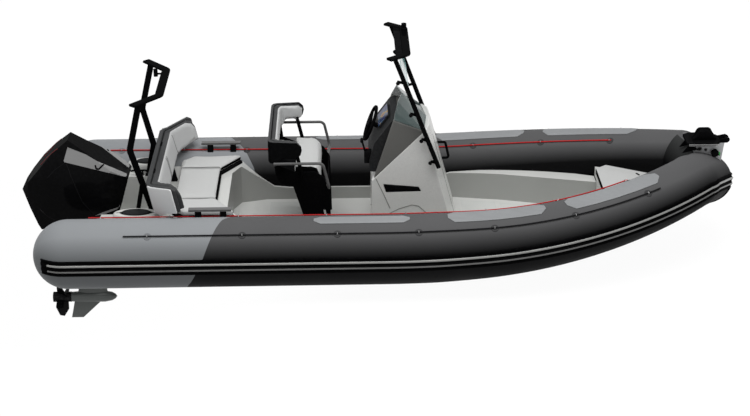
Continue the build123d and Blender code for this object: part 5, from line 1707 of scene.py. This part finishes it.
@dataclass
class HelmSeat:
    """Helm seat with its backrest and hoops."""

    facing_z: float = 0.5
    facing_y: float = 0.6

    def pad_trim(self, point: Vector, normal: Vector) -> bool:
        """All but the pads' inner faces carries the dark trim."""
        side = abs(normal.y) > self.facing_y and normal.y * point.y > 0
        return abs(normal.z) > self.facing_z or normal.x < -0.3 or side

    def build(self) -> None:
        """Makes the seat's pieces."""
        rounded("seat_frame", SHELL_BLACK, 0.004)
        Cushion("seat_cushion", WHITE_VINYL, "helm_cushion", SHELL_BLACK,
                lambda p, n: abs(n.y) > 0.7).build()
        shell = rounded("seat_back_shell", SHELL_BLACK, 0.008, steps=3)
        two_toned(shell, SHELL_GREY, lambda p, n: n.z > self.facing_z)
        Cushion("seat_back_pads", LIGHT_VINYL, "helm_back_cushion", SHELL_GREY, self.pad_trim).build()
        rounded("seat_struts", TUBE_BLACK, 0.003, sharp=50)
        rounded("seat_rails", GREY_BAR, 0.003, sharp=50)


@dataclass
class Bow:
    """Locker lid, nose bracket, step and lamps."""

    # Outlines of the arch's filling and of a corner plate, x and z
    web: Outline = ((5.530, 1.060), (5.572, 1.120), (5.600, 1.160), (5.680, 1.160), (5.730, 1.118),
                    (5.770, 1.060))
    web_half: float = 0.045
    gusset: Outline = ((5.500, 1.036), (5.436, 0.944), (5.590, 0.980))
    gusset_y: float = 0.0725
    latch: Point = (5.06, 0.075, 0.670)
    latch_turn: float = 25.0
    lid_edge: float = 5.19
    # Step's edge: x from, x to, half width; then the heights of its two strips
    edge: tuple[float, float, float] = (5.480, 5.760, 0.1505)
    edge_heights: tuple[float, float] = (1.0465, 1.0575)

    def build(self) -> None:
        """Makes the bow's pieces."""
        lid = rounded("bow_lid", WHITE_VINYL, 0.012, body="locker_lid", steps=3)
        two_toned(lid, SHELL_BLACK, lambda p, n: n.z < 0.2 or p.x > self.lid_edge)
        rounded("bow_bracket", CAST_GREY, 0.002)
        rounded("bow_platform", BLACK_PART, 0.004, sharp=50)
        rounded("bow_roller", BLACK_PART, 0.003, body="anchor_roller")
        rounded("bow_lamps", BLACK_PART, 0.005)
        rounded("bow_lenses", LENS, 0.004)
        settled(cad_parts["stem_strip"], RUBBER)
        latches, edges = bmesh.new(), bmesh.new()
        x, y, z = self.latch
        for side in (1, -1):
            block(latches, (x, side * y, z), (0.016, 0.055, 0.008), side * self.latch_turn, "Z", 0.003)
        finished(latches, "lid_latches", BLACK_PART, body="locker_lid")
        for height in self.edge_heights:
            tube_along(edges, [Vector((end, self.edge[2], height)) for end in self.edge[:2]], 0.0028)
        mirrored(edges)
        finished(edges, "step_edges", STEEL)
        web = slab([(x, -self.web_half, z) for x, z in self.web], (0, 2 * self.web_half, 0), 0.018, 4)
        finished(web, "grip_web", BLACK_PART)
        gussets = slab([(x, self.gusset_y, z) for x, z in self.gusset], (0, 0.006, 0), 0.0015)
        mirrored(gussets)
        finished(gussets, "nose_gussets", BLACK_PART)


@dataclass
class Outboard:
    """Engine on its brackets, with its screw."""

    # Outlines and lines on the cowl's side, x and z
    inlay: Outline = ((-0.316, 1.158), (-0.352, 1.022), (-0.347, 1.007), (0.203, 0.852), (0.212, 0.862),
                      (0.206, 0.886), (0.011, 0.985), (-0.042, 1.012), (-0.147, 1.082))
    # Grey patch painted as a highlight on the cowl's lower edge
    lower_highlight: Outline = ((-0.096, 0.455), (0.003, 0.473), (0.160, 0.538), (0.149, 0.549), (-0.020, 0.490))
    creases: tuple[Outline, ...] = (((-0.51, 0.84), (-0.438, 0.926), (-0.348, 0.995)),
                                    ((-0.606, 0.529), (-0.536, 0.453), (-0.447, 0.40), (-0.299, 0.398)),
                                    ((-0.337, 1.017), (-0.20, 0.60), (-0.06, 0.41)))
    latch: Outline = ((0.013, 0.975), (-0.028, 0.930), (-0.052, 0.936), (-0.060, 0.972))
    stripe: Outline = ((-0.585, 0.985), (-0.515, 1.060), (-0.41, 1.145))
    # How far out the outlines are given, and the way they fall onto the port side
    side: float = 0.235
    fall: Point = (0.017, -0.911, -0.412)

    def build(self) -> None:
        """Makes the engine's pieces."""
        rounded("clamp_bracket", ENGINE_GREY, 0.003)
        rounded("swivel_bracket", ENGINE_GREY, 0.004, body="tilt_bracket")
        rounded("midsection", ENGINE_GREY, 0.004, body="engine", sharp=40)
        cowl = copied("engine_cowl", 0.0)
        finished(cowl, "engine_cowl_moulded", COWL_BLACK, "engine", ("engine_cowl",), 22.0)
        rounded("powerhead", ENGINE_GREY, 0.02, body="engine")
        rounded("propeller", PROP_BLACK, 0.002, body="screw", sharp=60)
        self.cowl_details(surface_of(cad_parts["engine_cowl"]))

    def cowl_details(self, cowl: BVHTree) -> None:
        """Grey inlays, a grey patch painted as a highlight on the cowl's lower edge, latches, stripes and
        creases on both sides of the cowl.

        Args:
            cowl: the cowl's surface.
        """
        for side in SIDES:
            label = "port" if side > 0 else "starboard"
            for name, outline, lift, depth, step in (("inlay", self.inlay, 0.003, 0.008, 0.007),
                                                     ("lower_highlight", self.lower_highlight, 0.002, 0.006, 0.03)):
                corners = [(x, side * self.side, z) for x, z in outline][::-side]
                toward = (self.fall[0], side * self.fall[1], self.fall[2])
                draped(f"cowl_{name}_{label}", COWL_GREY, corners, toward, cowl, lift, depth, "engine", step)
        for name, finish, routes, radius in (("cowl_creases", CREASE_BLACK, self.creases, 0.003),
                                             ("cowl_latches", SHELL_BLACK, (self.latch,), 0.0095),
                                             ("cowl_stripes", COWL_RED, (self.stripe,), 0.004)):
            lines = [[(x, self.side, z) for x, z in route] for route in routes]
            lined(name, finish, lines, cowl, radius, "engine", self.fall)


# ------------------------------------------------------------------ studio
@dataclass
class Studio:
    """Floor, light and camera."""

    lens: float = 78.92
    sensor: float = 36.0
    eye: Point = (2.2736, -14.3316, 6.8761)
    down: float = 24.353
    yaw: float = 1.074
    roll: float = -0.370
    far: float = 200.0
    floor_half: float = 30.0
    floor_glow: float = 0.62
    floor_share: float = 0.12
    # The floor clears round this place, between these reaches
    clear_at: Point = (-0.4, 0.0, 0.0)
    clear_reach: tuple[float, float] = (1.9, 3.0)
    ambient: float = 0.34
    key_at: Point = (2.6, -2.5, 9.0)
    key_target: Point = (2.6, 0.0, 0.5)
    key_size: tuple[float, float] = (9.0, 5.0)
    key_power: float = 620.0

    def camera(self) -> None:
        """Sets the camera."""
        data = bpy.data.cameras.new("view")
        data.lens, data.sensor_width, data.sensor_fit = self.lens, self.sensor, "HORIZONTAL"
        data.clip_end = self.far
        eye = placed("view", data)
        el, yaw, roll = (math.radians(v) for v in (self.down, self.yaw, self.roll))
        ahead = Vector((math.sin(yaw) * math.cos(el), math.cos(yaw) * math.cos(el), -math.sin(el)))
        right = Vector((math.cos(yaw), -math.sin(yaw), 0))
        up = right.cross(ahead)
        turned = right * math.cos(roll) + up * math.sin(roll)
        risen = up * math.cos(roll) - right * math.sin(roll)
        turn = Matrix((turned, risen, -ahead)).transposed().to_4x4()
        eye.matrix_world = Matrix.Translation(self.eye) @ turn
        bpy.context.scene.camera = eye

    def world(self) -> None:
        """Plain white surroundings that light the object evenly."""
        world = bpy.data.worlds.new("studio")
        bpy.context.scene.world = world
        world.use_nodes = True
        kit = Tree(world.node_tree)
        back = world.node_tree.nodes["Background"]
        rays = kit.add("LightPath").outputs
        seen = kit.calc("MAXIMUM", rays["Is Camera Ray"], rays["Is Glossy Ray"])
        seen = kit.calc("MAXIMUM", seen, rays["Is Transmission Ray"])
        kit.fill(back, {"Strength": kit.spread(seen, 0.0, 1.0, self.ambient, 1.0), "Color": (1, 1, 1, 1)})

    def floor(self) -> None:
        """Water level: a thin pale sheet that keeps a faint shadow."""
        shape = bmesh.new()
        bmesh.ops.create_grid(shape, x_segments=1, y_segments=1, size=self.floor_half)
        plane = placed("waterline_floor", meshed(shape, "waterline_floor"))
        made = bpy.data.materials.new("pale_floor")
        made.use_nodes = True
        kit, nodes = Tree(made.node_tree), made.node_tree.nodes
        nodes.remove(nodes["Principled BSDF"])
        glow = kit.calc("MULTIPLY", kit.add("LightPath").outputs["Is Camera Ray"], self.floor_glow)
        white = kit.add("BsdfDiffuse", {"Color": (0.9, 0.9, 0.9, 1)})
        lit = kit.add("Emission", {"Color": (1, 1, 1, 1), "Strength": glow})
        sheet = kit.add("AddShader", {0: white.outputs[0], 1: lit.outputs[0]})
        away = kit.add("VectorMath", {0: kit.place(), 1: self.clear_at}, operation="DISTANCE")
        share = kit.spread(away.outputs["Value"], *self.clear_reach, 0.0, self.floor_share)
        blend = kit.add("MixShader", {0: share,
                                      1: kit.add("BsdfTransparent").outputs[0], 2: sheet.outputs[0]})
        kit.fill(nodes["Material Output"], {"Surface": blend.outputs[0]})
        plane.data.materials.append(made)

    def lamp(self) -> None:
        """Hangs one soft lamp overhead."""
        data = bpy.data.lights.new("overhead_soft", "AREA")
        data.shape, data.energy = "RECTANGLE", self.key_power
        data.size, data.size_y = self.key_size
        away = Vector(self.key_at) - Vector(self.key_target)
        placed("overhead_soft", data).matrix_world = facing(Vector(self.key_at), away, Vector((0, 1, 0.01)))

    def build(self) -> None:
        """Sets up the studio."""
        bpy.context.scene.view_settings.view_transform = "Standard"
        self.camera()
        self.world()
        self.floor()
        self.lamp()


def main() -> None:
    """Builds the studio and the boat's sub-assemblies in order."""
    logging.basicConfig(level=logging.INFO, format="%(name)s: %(message)s")
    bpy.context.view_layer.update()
    Studio().build()
    for part in (Collar(), Hull(), Bench(), Console(), HelmSeat(), Bow(), Outboard()):
        part.build()
        log.info("%s done", type(part).__name__)


if __name__ == "__main__":
    main()
